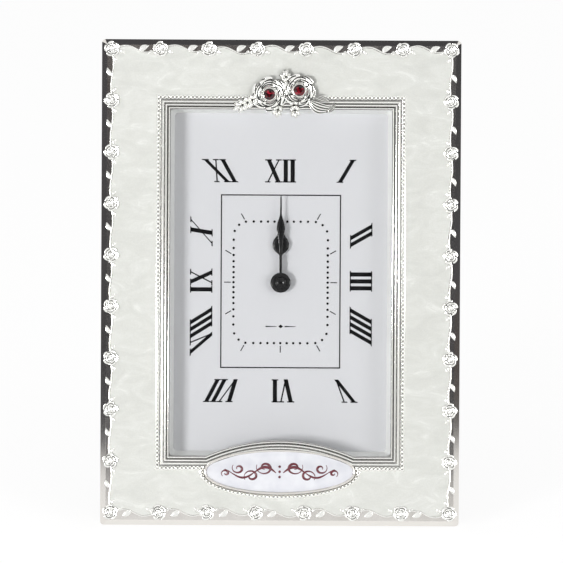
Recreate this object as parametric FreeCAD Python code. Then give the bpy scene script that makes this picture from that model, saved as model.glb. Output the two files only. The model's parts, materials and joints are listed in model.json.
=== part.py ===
import FreeCAD
import Part
import math
import os

# Photo frame clock: a cast and plated frame with an enamel field, small roses and
# a stepped moulding round a glazed window. Behind the glass lies a dial with two
# hands, driven by a battery movement that is set into the back board. The frame
# leans back on a folding strut.
#
# Every piece is drawn upright: x to the right, y to the back, z up, with the hand
# axis at the origin and the rear edge of the frame's skirt at y = 0. At the end the
# whole clock is leant back about that edge and stood on the ground plane.

os.makedirs("parts", exist_ok=True)
V = FreeCAD.Vector
BACK = V(0, 1, 0)
UP = V(0, 0, 1)
SIDE = V(1, 0, 0)

# General values
overrun = 1.0
fit_gap = 0.05
body_gap = 0.3

# Frame: outside, and the layers from the back board to the front face
frame_width = 150.0
frame_height = 203.0
corner_radius = 1.5
skirt_wall = 2.0
board_inset = 3.0
board_thick = 3.0
dial_thick = 1.5
spacer_depth = 6.5
glass_thick = 2.0
front_plate = 2.4
moulding_height = 1.6
band_width = 2.2
band_drop = 1.6

# Ground and lean
lean_angle = 12.0
ground_flat = 0.35

# Window with the arch over the oval, and the moulding round it
window_side_margin = 28.75
window_end_margin = 29.0
window_width = frame_width - 2 * window_side_margin
window_height = frame_height - 2 * window_end_margin
arch_half_width = 31.0
arch_rise = 6.6
moulding_width = 4.0
ridge_count = 3
ridge_width_share = 0.6
ridge_height_shares = (1.0, 0.85, 0.7)
moulding_base_share = 0.4
bead_width = 2.0
bead_height = 1.0
bead_crown_share = 0.6

# Oval plaque below the window
oval_length = 61.6
oval_height = 17.0
oval_below_window = 6.4
oval_thick = 0.9
oval_rim_width = 0.9
oval_rim_height = 1.3

# Enamel and the rose border
enamel_thick = 0.6
border_side_margin = 4.1
border_end_margin = 4.7
border_rise = 0.7
roses_across = 8
roses_down = 10
rose_diameter = 6.2
rose_height = 1.6
vine_width = 0.6
vine_height = 0.5
leaf_length = 4.2
leaf_width = 1.6
leaf_thick = 0.5
# Edge of a leaf: shares of its length, and of its half width there
leaf_edge_shares = ((0.0, 0.0), (0.22, 0.75), (0.5, 1.0), (0.78, 0.62), (1.0, 0.0))
rose_seat_gap = 0.1

# Petal rings of a rose, as shares of its radius and height
petal_count = 5
petal_dip_share = 0.82
petal_taper_share = 0.84
petal_height_share = 0.55
heart_low_share = 0.66
heart_high_share = 0.42

# Applied spray of two roses at the top of the window
spray_thick = 0.9
spray_rose_height = 3.0
spray_span = 42.4
# Centre and diameter of the two roses, as shares of the span from the window's top
spray_rose_shares = ((-0.1203, 0.1486, 0.2807), (0.1745, 0.1887, 0.2665))
crystal_diameter = 4.9
crystal_height = 1.5
crystal_table_share = 0.6
crystal_sides = 10
# Leaves of the spray as base x, base z, tip x, tip z and width, in the same shares
spray_leaf_shares = (
    (-0.1887, 0.1061, -0.4788, -0.0165, 0.1085),
    (-0.2005, 0.1651, -0.4009, 0.1203, 0.0849),
    (0.2358, 0.1415, 0.5212, -0.033, 0.1179),
    (-0.0943, 0.0708, -0.0118, -0.0825, 0.0802),
    (0.1179, 0.1179, 0.125, -0.0967, 0.0849),
    (0.1297, 0.2594, 0.0165, 0.3868, 0.0802),
    (-0.0708, 0.1179, 0.1179, 0.2123, 0.0991),
)

# Glass, spacer and rebate rib
glass_overlap = 2.4
rebate_gap = 0.3
rebate_rib = 1.6
spacer_taper = 1.6

# Movement case and its walls
move_size = 56.0
move_depth = 16.0
move_wall = 1.2
move_corner = 2.0
pad_thick = 0.5
cover_thick = 1.2
board_hole_gap = 0.5
neck_radius = 3.8
neck_stand = 0.9
battery_diameter = 14.5
battery_length = 49.2
nub_diameter = 5.5
nub_length = 1.3
battery_gap = 0.2

# Wheel layers: thickness, gap between layers, first gap behind the case wall
wheel_thick = 1.0
layer_gap = 0.5

# Gear train: modules, teeth and the tooth form as shares of the module
module_motion = 0.25
module_hour = 0.24
module_fine = 0.25
minute_pinion_teeth = 12
transfer_wheel_teeth = 36
transfer_pinion_teeth = 10
hour_wheel_teeth = 40
rotor_pinion_teeth = 8
fifth_wheel_teeth = 40
fifth_pinion_teeth = 8
seconds_wheel_teeth = 48
seconds_pinion_teeth = 8
third_wheel_teeth = 60
third_pinion_teeth = 8
centre_wheel_teeth = 64
rotor_bearing_angle = 40.0
addendum_share = 0.8
dedendum_share = 1.1
tip_half_share = 0.34
pointed_gap_share = 1.6
pinion_root_half_share = 0.5
small_pinion_teeth = 16

# Arbors, pipes and bosses
minute_arbor_radius = 1.2
hour_pipe_wall = 0.95
seconds_arbor_radius = 0.5
seconds_bore_depth = 2.0
pivot_radius = 0.45
boss_radius = 1.2
setting_shaft_radius = 1.0
setting_knob_radius = 4.5
setting_knob_height = 3.0
setting_knob_gap = 0.5
clutch_flange_radius = 1.8
transfer_hub_radius = 0.9

# Motor
rotor_radius = 3.0
rotor_length = 3.0
stator_gap = 0.4
stator_ring_width = 1.8
stator_thick = 1.0
stator_arm_width = 2.0
coil_x = 21.3
coil_low_z = 3.0
coil_high_z = 23.5
winding_radius = 3.2
bobbin_flange_radius = 3.6
bobbin_wall = 0.4
bobbin_flange_thick = 0.8
core_width = 1.6
core_thick = 1.0

# Train bridge and circuit board
bridge_thick = 1.0
post_radius = 1.2
post_sides = 8
bridge_outline = ((-20.0, -3.0), (-20.0, 3.0), (-3.0, 15.0), (9.5, 15.0),
                  (16.0, 9.0), (16.0, -9.5), (-4.0, -9.5))
bridge_posts = ((-18.4, 0.0), (14.0, -7.4), (8.0, 12.4))
circuit_width = 15.0
circuit_height = 11.0
circuit_thick = 0.8
circuit_x = -17.0
circuit_z = 19.5
circuit_stand = 3.0
chip_radius = 2.4
chip_height = 0.9
can_radius = 1.0
can_length = 6.0
contact_thick = 0.4
contact_width = 8.0
contact_spring = 1.4

# Hands
hour_hand_lift = 2.0
minute_hand_lift = 3.7
hand_thick = 0.4
hand_hub_thick = 0.5
hand_hub_radius = 4.2
hour_hub_radius = 3.3
cap_radius = 2.4
cap_height = 0.9
minute_length = 36.5
minute_leaf_half = 1.85
minute_stem_half = 0.5
minute_needle_half = 0.37
minute_leaf_shares = (0.334, 0.618, 0.78)
hour_length = 23.5
hour_leaf_half = 3.5
hour_stem_half = 0.6
hour_leaf_shares = (0.0, 0.52, 0.53, 0.56, 0.61, 0.685, 0.76, 0.85, 0.93, 1.0)
hour_width_shares = (0.0, 0.0, 0.45, 0.74, 0.95, 1.0, 0.86, 0.5, 0.2, 0.04)

# Strut and its hinge
strut_angle = 24.0
strut_hinge_drop = 39.5
strut_top_width = 34.0
strut_foot_width = 50.0
strut_thick = 2.0
strut_top_gap = 2.0
hinge_plate_thick = 0.6
hinge_plate_height = 8.0
hinge_plate_width = 30.0
hinge_leaf_height = 12.0
knuckle_radius = 1.3
knuckle_reach = 13.0
knuckle_middle = 6.0
knuckle_gap = 0.3
hinge_pin_radius = 0.6
hinge_plate_lift = 2.0
stop_height = 4.4
rivet_radius = 1.3
rivet_head = 0.6
hinge_rivet_spread = 20.0

# Turn buttons and the lugs that they hook under
button_side_margin = 9.0
button_end_margin = 41.5
button_thick = 1.0
button_reach = 5.8
button_tail = 3.0
button_width = 6.0
button_corner_share = 0.5
button_pin_radius = 1.0
lug_reach = 4.0
lug_height = 9.0
lug_thick = 1.2

# Places that follow from the sizes above
y_board_front = -(board_inset + board_thick)
y_dial_front = y_board_front - dial_thick
y_glass_back = y_dial_front - spacer_depth
y_plate_back = y_glass_back - glass_thick
y_face = y_plate_back - front_plate
y_moulding = y_face - moulding_height
y_board_back = -board_inset
y_case = y_board_front + pad_thick
y_case_floor = y_case + move_wall
y_cover = y_case + move_depth - cover_thick
half_move = move_size / 2
battery_radius = battery_diameter / 2
battery_z = -half_move + move_wall + battery_gap + battery_radius
battery_y = y_case_floor + battery_gap + battery_radius
bay_top = battery_z + battery_radius + battery_gap
y_layer = [y_case_floor + layer_gap + i * (wheel_thick + layer_gap) for i in range(6)]
y_bridge = y_layer[5] + wheel_thick + layer_gap
circuit_y = y_case_floor + circuit_stand
hour_pipe_radius = minute_arbor_radius + fit_gap + hour_pipe_wall
neck_bore = hour_pipe_radius + fit_gap
rebate_half_width = window_width / 2 + glass_overlap + rebate_gap
rebate_half_height = window_height / 2 + glass_overlap + rebate_gap
oval_drop = window_height / 2 + oval_below_window
border_half_width = frame_width / 2 - border_side_margin
border_half_height = frame_height / 2 - border_end_margin
button_x = frame_width / 2 - button_side_margin
button_z = frame_height / 2 - button_end_margin
oval_bead_inner = oval_rim_width
oval_bead_outer = oval_rim_width + bead_width


def box(x0, x1, y0, y1, z0, z1):
    """Block between two values on each axis."""
    return Part.makeBox(x1 - x0, y1 - y0, z1 - z0, V(x0, y0, z0))


def disc(radius, y0, y1, x=0.0, z=0.0):
    """Round bar along y."""
    return Part.makeCylinder(radius, y1 - y0, V(x, y0, z), BACK)


def tube(radius, bore, y0, y1, x=0.0, z=0.0):
    """Round bar along y with a round hole through it."""
    return disc(radius, y0, y1, x, z).cut(disc(bore, y0 - overrun, y1 + overrun, x, z))


def prism(points, y0, y1):
    """Flat outline of x, z points, drawn out from y0 to y1."""
    wire = Part.makePolygon([V(x, y0, z) for x, z in points] + [V(points[0][0], y0, points[0][1])])
    return Part.Face(wire).extrude(V(0, y1 - y0, 0))


def tapered_prism(low, high, y_low, y_high):
    """Flat-sided solid between two like outlines of x, z points, given at two depths."""
    count = len(low)
    ring_low = [V(x, y_low, z) for x, z in low]
    ring_high = [V(x, y_high, z) for x, z in high]
    faces = [Part.Face(Part.makePolygon(ring + ring[:1])) for ring in (ring_low, ring_high)]
    for i in range(count):
        j = (i + 1) % count
        corners = [ring_low[i], ring_low[j], ring_high[j], ring_high[i], ring_low[i]]
        faces.append(Part.Face(Part.makePolygon(corners)))
    solid = Part.Solid(Part.Shell(faces))
    if solid.Volume < 0:
        solid.reverse()
    return solid


def polygon_points(radius, sides, x, z, turn=0.0):
    """Corners of a regular polygon about x, z."""
    angles = [turn + 2 * math.pi * i / sides for i in range(sides)]
    return [(x + radius * math.cos(angle), z + radius * math.sin(angle)) for angle in angles]


def post(radius, y0, y1, x, z):
    """Eight-sided bar along y, for moulded posts and shanks that are never turned."""
    return prism(polygon_points(radius, post_sides, x, z), y0, y1)


def rounded_wire(half_w, half_h, radius, y):
    """Closed wire of a rectangle with round corners, about the hand axis."""
    arc_mid = radius * (1 - math.sqrt(0.5))
    edges = []
    corners = ((1, 1), (-1, 1), (-1, -1), (1, -1))
    for i, (sx, sz) in enumerate(corners):
        along_x = V(sx * (half_w - radius), y, sz * half_h)
        along_z = V(sx * half_w, y, sz * (half_h - radius))
        start, end = (along_z, along_x) if sx * sz > 0 else (along_x, along_z)
        middle = V(sx * (half_w - arc_mid), y, sz * (half_h - arc_mid))
        edges.append(Part.Arc(start, middle, end).toShape())
        tx, tz = corners[(i + 1) % len(corners)]
        if tx == sx:
            following = V(tx * half_w, y, tz * (half_h - radius))
        else:
            following = V(tx * (half_w - radius), y, tz * half_h)
        edges.append(Part.makeLine(end, following))
    return Part.Wire(edges)


def rounded_block(half_w, half_h, radius, y0, y1):
    """Rounded rectangle drawn out from y0 to y1."""
    return Part.Face(rounded_wire(half_w, half_h, radius, y0)).extrude(V(0, y1 - y0, 0))


def ring_block(half_w, half_h, inner_half_w, inner_half_h, y0, y1):
    """Square-cornered picture-frame ring."""
    outer = box(-half_w, half_w, y0, y1, -half_h, half_h)
    hole = box(-inner_half_w, inner_half_w, y0 - overrun, y1 + overrun, -inner_half_h, inner_half_h)
    return outer.cut(hole)


def window_block(grow, y0, y1):
    """Window outline with its arched lower edge, grown all round, drawn out from y0 to y1."""
    half_w = window_width / 2 + grow
    top = window_height / 2 + grow
    bottom = -top
    radius = (arch_half_width ** 2 + arch_rise ** 2) / (2 * arch_rise)
    centre = -window_height / 2 + arch_rise - radius
    radius -= grow
    chord = math.sqrt(radius ** 2 - (bottom - centre) ** 2)
    left, apex, right = V(-chord, y0, bottom), V(0, y0, centre + radius), V(chord, y0, bottom)
    corners = [right, V(half_w, y0, bottom), V(half_w, y0, top)]
    corners += [V(-half_w, y0, top), V(-half_w, y0, bottom), left]
    edges = [Part.makeLine(a, b) for a, b in zip(corners, corners[1:])]
    edges.append(Part.Arc(left, apex, right).toShape())
    return Part.Face(Part.Wire(edges)).extrude(V(0, y1 - y0, 0))


def oval_block(grow, y0, y1):
    """Oval of the plaque, grown all round, drawn out from y0 to y1."""
    curve = Part.Ellipse(V(0, 0, 0), oval_length / 2 + grow, oval_height / 2 + grow)
    edge = curve.toShape()
    edge.rotate(V(0, 0, 0), SIDE, 90)
    edge.translate(V(0, y0, -oval_drop))
    return Part.Face(Part.Wire([edge])).extrude(V(0, y1 - y0, 0))


def moulding():
    """Stepped moulding: a base with raised ridges, each parallel to the window's edge."""
    pitch = moulding_width / ridge_count
    y_base = y_face - moulding_height * moulding_base_share
    solid = window_block(moulding_width, y_base, y_plate_back)
    for i, share in enumerate(ridge_height_shares):
        inner = i * pitch
        outer = inner + pitch * ridge_width_share
        ridge = window_block(outer, y_face - moulding_height * share, y_face)
        solid = solid.fuse(ridge.cut(window_block(inner, y_moulding - overrun, y_face + overrun)))
    rim = oval_block(oval_rim_width, y_face - oval_rim_height, y_plate_back)
    solid = solid.fuse(rim)
    solid = solid.cut(window_block(0, y_moulding - overrun, y_plate_back + overrun))
    return solid.cut(oval_block(fit_gap, y_moulding - overrun, y_face))


def skirt_lugs():
    """Four lugs inside the skirt that the turn buttons hook under."""
    wall_x = frame_width / 2 - skirt_wall
    y0 = y_board_back + button_thick + body_gap
    lugs = []
    for side in (-1, 1):
        x0, x1 = sorted((side * (wall_x - lug_reach), side * (wall_x + skirt_wall / 2)))
        for level in (-button_z, button_z):
            z0 = level - lug_height / 2
            lugs.append(box(x0, x1, y0, y0 + lug_thick, z0, z0 + lug_height))
    return lugs


def frame_shell():
    """Cast frame: bevelled front edge, hollow back, moulding, rebate rib and lugs."""
    half_w, half_h = frame_width / 2, frame_height / 2
    y_shoulder = y_face + band_drop
    body = rounded_block(half_w, half_h, corner_radius, y_shoulder, 0)
    rear = rounded_wire(half_w, half_h, corner_radius, y_shoulder)
    front = rounded_wire(half_w - band_width, half_h - band_width, corner_radius, y_face)
    body = body.fuse(Part.makeLoft([rear, front], True, True))
    hollow = rounded_block(half_w - skirt_wall, half_h - skirt_wall, corner_radius, y_plate_back, overrun)
    body = body.cut(hollow)
    body = body.cut(window_block(moulding_width / 2, y_moulding, y_plate_back + overrun))
    body = body.cut(enamel_block(y_face - overrun))
    rib = ring_block(rebate_half_width + rebate_rib, rebate_half_height + rebate_rib,
                     rebate_half_width, rebate_half_height, y_plate_back, y_board_front)
    body = body.fuse([moulding(), rib] + skirt_lugs())
    return body.removeSplitter()


def enamel_block(y_front):
    """Field between the vine and the beads, down to the floor of its recess."""
    half_w = border_half_width - vine_width / 2
    half_h = border_half_height - vine_width / 2
    outer = box(-half_w, half_w, y_front, y_face + enamel_thick, -half_h + border_rise, half_h + border_rise)
    inner_w = window_width / 2 + moulding_width + bead_width
    inner_h = window_height / 2 + moulding_width + bead_width
    hole = box(-inner_w, inner_w, y_front - overrun, y_face + overrun, -inner_h, inner_h)
    return outer.cut(hole).cut(oval_block(oval_bead_outer, y_front - overrun, y_face + overrun))


def enamel_panel():
    """Enamel filled flush into its recess."""
    return enamel_block(y_face)


def bead_tier(inset, y0, y1):
    """One tier of the bead rail: a ring round the moulding that dips round the oval."""
    outer_w = window_width / 2 + moulding_width + bead_width - inset
    outer_h = window_height / 2 + moulding_width + bead_width - inset
    width = bead_width - 2 * inset
    outer = box(-outer_w, outer_w, y0, y1, -outer_h, outer_h)
    outer = outer.fuse(oval_block(oval_bead_outer - inset, y0, y1))
    cut0, cut1 = y0 - overrun, y1 + overrun
    inner = box(-outer_w + width, outer_w - width, cut0, cut1, -outer_h + width, outer_h - width)
    inner = inner.fuse(oval_block(oval_bead_inner + inset, cut0, cut1))
    return outer.cut(inner)


def bead_rail():
    """Raised rail that carries the beading, in two tiers."""
    y_step = y_face - bead_height * (1 - bead_crown_share)
    low = bead_tier(0, y_step, y_face)
    inset = bead_width * (1 - bead_crown_share) / 2
    high = bead_tier(inset, y_face - bead_height, y_step)
    return low.fuse(high)


def border_points():
    """Centres of the border roses, clockwise from the top left corner."""
    step_x = 2 * border_half_width / (roses_across - 1)
    step_z = 2 * border_half_height / (roses_down - 1)
    across = [-border_half_width + step_x * i for i in range(roses_across)]
    down = [border_half_height - step_z * i for i in range(roses_down)]
    points = [(x, border_half_height) for x in across]
    points += [(border_half_width, z) for z in down[1:]]
    points += [(x, -border_half_height) for x in across[-2::-1]]
    points += [(-border_half_width, z) for z in down[-2:0:-1]]
    return [(x, z + border_rise) for x, z in points]


def petal_points(radius, x, z, turn):
    """Outline with a point at each petal and a dip between petals."""
    points = []
    for i in range(2 * petal_count):
        reach = radius if i % 2 == 0 else radius * petal_dip_share
        angle = turn + math.pi * i / petal_count
        points.append((x + reach * math.cos(angle), z + reach * math.sin(angle)))
    return points


def rose(diameter, height, x, z, y_seat, turn):
    """Cast rose: a tapering ring of petals with a smaller tapering heart turned against it."""
    radius = diameter / 2
    y_mid = y_seat - height * petal_height_share
    petals = tapered_prism(petal_points(radius, x, z, turn),
                           petal_points(radius * petal_taper_share, x, z, turn), y_seat, y_mid)
    heart_turn = turn + math.pi / petal_count
    heart = tapered_prism(polygon_points(radius * heart_low_share, petal_count, x, z, heart_turn),
                          polygon_points(radius * heart_high_share, petal_count, x, z, heart_turn),
                          y_mid, y_seat - height)
    return petals.fuse(heart)


def border_roses():
    """Small roses on the border, each turned a little against the last."""
    step = 2 * math.pi / petal_count / 3
    roses = []
    for i, (x, z) in enumerate(border_points()):
        roses.append(rose(rose_diameter, rose_height, x, z, y_face, i * step))
    return Part.makeCompound(roses)


def border_vine():
    """Thin vine between the roses, in separate lengths."""
    half = vine_width / 2
    wide, high = border_half_width, border_half_height
    vine = ring_block(wide + half, high + half, wide - half, high - half, y_face - vine_height, y_face)
    vine.translate(V(0, 0, border_rise))
    reach = rose_diameter / 2 + rose_seat_gap
    y0, y1 = y_face - vine_height - overrun, y_face + overrun
    gaps = [box(x - reach, x + reach, y0, y1, z - reach, z + reach) for x, z in border_points()]
    return vine.cut(Part.makeCompound(gaps))


def leaf(x0, z0, x1, z1, width, y_seat, thick):
    """Leaf from base to tip, its edges bowed out in straight facets."""
    dx, dz = x1 - x0, z1 - z0
    length = math.hypot(dx, dz)
    nx, nz = -dz / length * width / 2, dx / length * width / 2
    edge = [(along, out) for along, out in leaf_edge_shares]
    edge += [(along, -out) for along, out in reversed(leaf_edge_shares[1:-1])]
    points = [(x0 + dx * along + nx * out, z0 + dz * along + nz * out) for along, out in edge]
    return prism(points, y_seat - thick, y_seat)


def border_leaves():
    """A leaf on the outer side of the vine, half way between each two roses."""
    points = border_points()
    leaves = []
    for (xa, za), (xb, zb) in zip(points, points[1:] + points[:1]):
        length = math.hypot(xb - xa, zb - za)
        ux, uz = (xb - xa) / length, (zb - za) / length
        outward = leaf_width / 2 + vine_width / 2 + rose_seat_gap
        mx, mz = (xa + xb) / 2 - uz * outward, (za + zb) / 2 + ux * outward
        dx, dz = ux * leaf_length / 2, uz * leaf_length / 2
        leaves.append(leaf(mx - dx, mz - dz, mx + dx, mz + dz, leaf_width, y_face, leaf_thick))
    return Part.makeCompound(leaves)


def spray_roses():
    """Centre and diameter of the spray's two roses."""
    top = window_height / 2
    return [(x * spray_span, top + z * spray_span, size * spray_span) for x, z, size in spray_rose_shares]


def spray_leaf(shares):
    """One leaf of the spray, from its shares of the span."""
    x0, z0, x1, z1, width = [share * spray_span for share in shares]
    top = window_height / 2
    return leaf(x0, top + z0, x1, top + z1, width, y_moulding, spray_thick)


def rose_spray():
    """Two roses on a bed of leaves, one casting that lies on the moulding."""
    solid = spray_leaf(spray_leaf_shares[0])
    for shares in spray_leaf_shares[1:]:
        solid = solid.fuse(spray_leaf(shares))
    for i, (x, z, diameter) in enumerate(spray_roses()):
        solid = solid.fuse(rose(diameter, spray_rose_height, x, z, y_moulding, i * math.pi / petal_count))
    return solid.removeSplitter()


def crystal(x, z):
    """Faceted stone set on the flat heart of a rose."""
    seat = y_moulding - spray_rose_height
    girdle = polygon_points(crystal_diameter / 2, crystal_sides, x, z)
    table = polygon_points(crystal_diameter / 2 * crystal_table_share, crystal_sides, x, z)
    return tapered_prism(girdle, table, seat, seat - crystal_height)


def oval_plaque():
    """Oval plate lying on the face inside its rim."""
    return oval_block(0, y_face - oval_thick, y_face)


def window_glass():
    """Pane behind the window lip."""
    half_w = rebate_half_width - rebate_gap
    half_h = rebate_half_height - rebate_gap
    return box(-half_w, half_w, y_plate_back, y_glass_back, -half_h, half_h)


def spacer_frame():
    """Deep frame between glass and dial, its inner walls closing in towards the dial."""
    half_w = rebate_half_width - rebate_gap
    half_h = rebate_half_height - rebate_gap
    outer = box(-half_w, half_w, y_glass_back, y_dial_front, -half_h, half_h)
    mouth_w, mouth_h = window_width / 2, window_height / 2
    front = rounded_wire(mouth_w, mouth_h, corner_radius, y_glass_back)
    rear = rounded_wire(mouth_w - spacer_taper, mouth_h - spacer_taper, corner_radius, y_dial_front)
    return outer.cut(Part.makeLoft([front, rear], True, True))


def dial_plate():
    """Dial card with the hole for the movement's neck."""
    half_w = rebate_half_width - rebate_gap
    half_h = rebate_half_height - rebate_gap
    plate = box(-half_w, half_w, y_dial_front, y_board_front, -half_h, half_h)
    return plate.cut(disc(neck_radius + fit_gap, y_dial_front - overrun, y_board_front + overrun))


def back_board():
    """Back board with the square opening for the movement and the rivet holes."""
    half_w = frame_width / 2 - skirt_wall - body_gap
    half_h = frame_height / 2 - skirt_wall - body_gap
    board = rounded_block(half_w, half_h, corner_radius, y_board_front, y_board_back)
    hole = half_move + board_hole_gap
    board = board.cut(rounded_block(hole, hole, move_corner, y_board_front - overrun, y_board_back + overrun))
    return board


def back_rivet(x, z, y_seat, bore_radius):
    """Rivet with a low round head, from the face of the back board outwards."""
    shank = post(bore_radius, y_board_back, y_seat, x, z)
    return shank.fuse(disc(rivet_radius + bore_radius, y_seat, y_seat + rivet_head, x, z))


def turn_button(x, z, side):
    """Flat button that turns about its rivet and hooks under a lug of the skirt."""
    y0, y1 = y_board_back, y_board_back + button_thick
    half = button_width / 2
    corner = half * button_corner_share
    tip, tail = button_reach, button_tail
    right = [(tip - corner, -half), (tip, -half + corner), (tip, half - corner), (tip - corner, half)]
    left = [(-tail + corner, half), (-tail, half - corner), (-tail, -half + corner), (-tail + corner, -half)]
    solid = prism([(x + side * along, z + across) for along, across in right + left], y0, y1)
    return solid.cut(disc(button_pin_radius + fit_gap, y0 - overrun, y1 + overrun, x, z))


def button_places():
    """Centres of the four turn buttons with the side that each one hooks to."""
    return [(side * button_x, level * button_z, side) for side in (-1, 1) for level in (1, -1)]


def button_rivets():
    """Rivets that the turn buttons swivel on."""
    seat = y_board_back + button_thick + fit_gap
    return Part.makeCompound([back_rivet(x, z, seat, button_pin_radius) for x, z, side in button_places()])


hinge_y = y_board_back + knuckle_radius + body_gap
hinge_z = -strut_hinge_drop


def knuckle(x0, x1):
    """Round knuckle along x with the hole for the pin."""
    outer = Part.makeCylinder(knuckle_radius, x1 - x0, V(x0, hinge_y, hinge_z), SIDE)
    start = V(x0 - overrun, hinge_y, hinge_z)
    bore = Part.makeCylinder(hinge_pin_radius + fit_gap, x1 - x0 + 2 * overrun, start, SIDE)
    return outer, bore


def strut_hinge_plate():
    """Fixed leaf on the back board with two outer knuckles."""
    half = hinge_plate_width / 2
    z0 = hinge_z + hinge_plate_lift
    plate = box(-half, half, y_board_back, y_board_back + hinge_plate_thick, z0, z0 + hinge_plate_height)
    for side in (-1, 1):
        x0, x1 = sorted((side * (knuckle_middle + knuckle_gap), side * knuckle_reach))
        outer, bore = knuckle(x0, x1)
        web = box(x0, x1, y_board_back, hinge_y, hinge_z, z0)
        plate = plate.fuse([outer, web]).cut(bore)
    for x in (-hinge_rivet_spread / 2, hinge_rivet_spread / 2):
        z = z0 + hinge_plate_height / 2
        hole = post(rivet_radius / 2 + fit_gap, y_board_back - overrun, y_board_back + overrun, x, z)
        plate = plate.cut(hole)
    return plate.removeSplitter()


def hinge_rivets():
    """Rivets of the fixed leaf, and of the moving leaf on the strut's own node."""
    z = hinge_z + hinge_plate_lift + hinge_plate_height / 2
    seat = y_board_back + hinge_plate_thick
    half = hinge_rivet_spread / 2
    return Part.makeCompound([back_rivet(x, z, seat, rivet_radius / 2) for x in (-half, half)])


def strut_hinge_pin():
    """Pin through all knuckles."""
    return Part.makeCylinder(hinge_pin_radius, 2 * knuckle_reach, V(-knuckle_reach, hinge_y, hinge_z), SIDE)


def swing_strut(shape):
    """Swing a piece of the strut from the folded to the open position."""
    shape.rotate(V(0, hinge_y, hinge_z), SIDE, strut_angle)
    return shape


def strut_hinge_leaf():
    """Moving leaf: middle knuckle, plate on the strut, and the heel that stops the strut."""
    y_leaf = hinge_y + knuckle_radius - hinge_plate_thick
    outer, bore = knuckle(-knuckle_middle, knuckle_middle)
    plate = box(-knuckle_reach, knuckle_reach, y_leaf, y_leaf + hinge_plate_thick,
                hinge_z - strut_top_gap - hinge_leaf_height, hinge_z - strut_top_gap)
    neck = box(-knuckle_middle, knuckle_middle, y_leaf, y_leaf + hinge_plate_thick,
               hinge_z - strut_top_gap, hinge_z)
    leaf_solid = swing_strut(plate.fuse([outer, neck]))
    stop_face = y_board_back + hinge_plate_thick + fit_gap
    heel = box(-knuckle_middle, knuckle_middle, stop_face, hinge_y, hinge_z, hinge_z + stop_height)
    leaf_solid = leaf_solid.fuse(heel)
    return leaf_solid.cut(bore).removeSplitter()


def ground_z(y):
    """Height of the ground plane at a depth y, before the clock is leant back."""
    return -frame_height / 2 + ground_flat + y * math.tan(math.radians(lean_angle))


def strut_length():
    """Length from the hinge to the ground along the open strut."""
    angle = math.radians(strut_angle)
    slope = math.tan(math.radians(lean_angle))
    drop = hinge_z - ground_z(hinge_y)
    return drop / (math.cos(angle) + slope * math.sin(angle))


def strut_panel():
    """Tapering strut board, hung on its leaf; the foot is cut to the ground later."""
    z_top = hinge_z - strut_top_gap
    z_foot = hinge_z - strut_length() - strut_thick
    y1 = hinge_y + knuckle_radius - hinge_plate_thick
    points = ((-strut_top_width / 2, z_top), (strut_top_width / 2, z_top),
              (strut_foot_width / 2, z_foot), (-strut_foot_width / 2, z_foot))
    return swing_strut(prism(points, y1 - strut_thick, y1))


def gear(teeth, module, y0, x, z, phase):
    """Spur wheel with straight-sided teeth: pointed gaps in wheels, flat ones in small pinions."""
    pitch = module * teeth / 2
    tip = pitch + addendum_share * module
    tip_half = tip_half_share * module / tip
    if teeth <= small_pinion_teeth:
        root = pitch - dedendum_share * module
        root_half = pinion_root_half_share * module / root
        corners = ((root, -root_half), (tip, -tip_half), (tip, tip_half), (root, root_half))
    else:
        root = pitch - pointed_gap_share * module
        corners = ((root, -math.pi / teeth), (tip, -tip_half), (tip, tip_half))
    points = []
    for i in range(teeth):
        middle = phase + 2 * math.pi * i / teeth
        for radius, offset in corners:
            angle = middle + offset
            points.append((x + radius * math.cos(angle), z + radius * math.sin(angle)))
    return prism(points, y0, y0 + wheel_thick)


def mesh_phase(teeth, place, phase, other_teeth, other_place):
    """Phase of the second wheel so that its gaps meet the first wheel's teeth."""
    angle = math.atan2(other_place[1] - place[1], other_place[0] - place[0])
    share = (angle - phase) * teeth / (2 * math.pi) % 1.0
    return angle + math.pi - 2 * math.pi / other_teeth * (0.5 - share)


# Places of the wheels in the movement, from their pitch radii
transfer_place = (0.0, module_motion * (minute_pinion_teeth + transfer_wheel_teeth) / 2)
setting_place = (0.0, transfer_place[1] + module_motion * (transfer_wheel_teeth + minute_pinion_teeth) / 2)
fifth_place = (module_fine * (seconds_wheel_teeth + fifth_pinion_teeth) / 2, 0.0)
fifth_to_rotor = module_fine * (fifth_wheel_teeth + rotor_pinion_teeth) / 2
rotor_place = (fifth_place[0] + fifth_to_rotor * math.cos(math.radians(rotor_bearing_angle)),
               fifth_to_rotor * math.sin(math.radians(rotor_bearing_angle)))
third_distance = module_motion * (seconds_pinion_teeth + third_wheel_teeth) / 2
third_place = (-third_distance, 0.0)
module_centre = 2 * third_distance / (third_pinion_teeth + centre_wheel_teeth)
hand_place = (0.0, 0.0)

transfer_phase = mesh_phase(minute_pinion_teeth, hand_place, 0, transfer_wheel_teeth, transfer_place)
setting_phase = mesh_phase(transfer_wheel_teeth, transfer_place, transfer_phase,
                           minute_pinion_teeth, setting_place)
hour_phase = mesh_phase(transfer_pinion_teeth, transfer_place, 0, hour_wheel_teeth, hand_place)
fifth_pinion_phase = mesh_phase(seconds_wheel_teeth, hand_place, 0, fifth_pinion_teeth, fifth_place)
rotor_phase = mesh_phase(fifth_wheel_teeth, fifth_place, 0, rotor_pinion_teeth, rotor_place)
third_wheel_phase = mesh_phase(seconds_pinion_teeth, hand_place, 0, third_wheel_teeth, third_place)
centre_phase = mesh_phase(third_pinion_teeth, third_place, 0, centre_wheel_teeth, hand_place)


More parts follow.
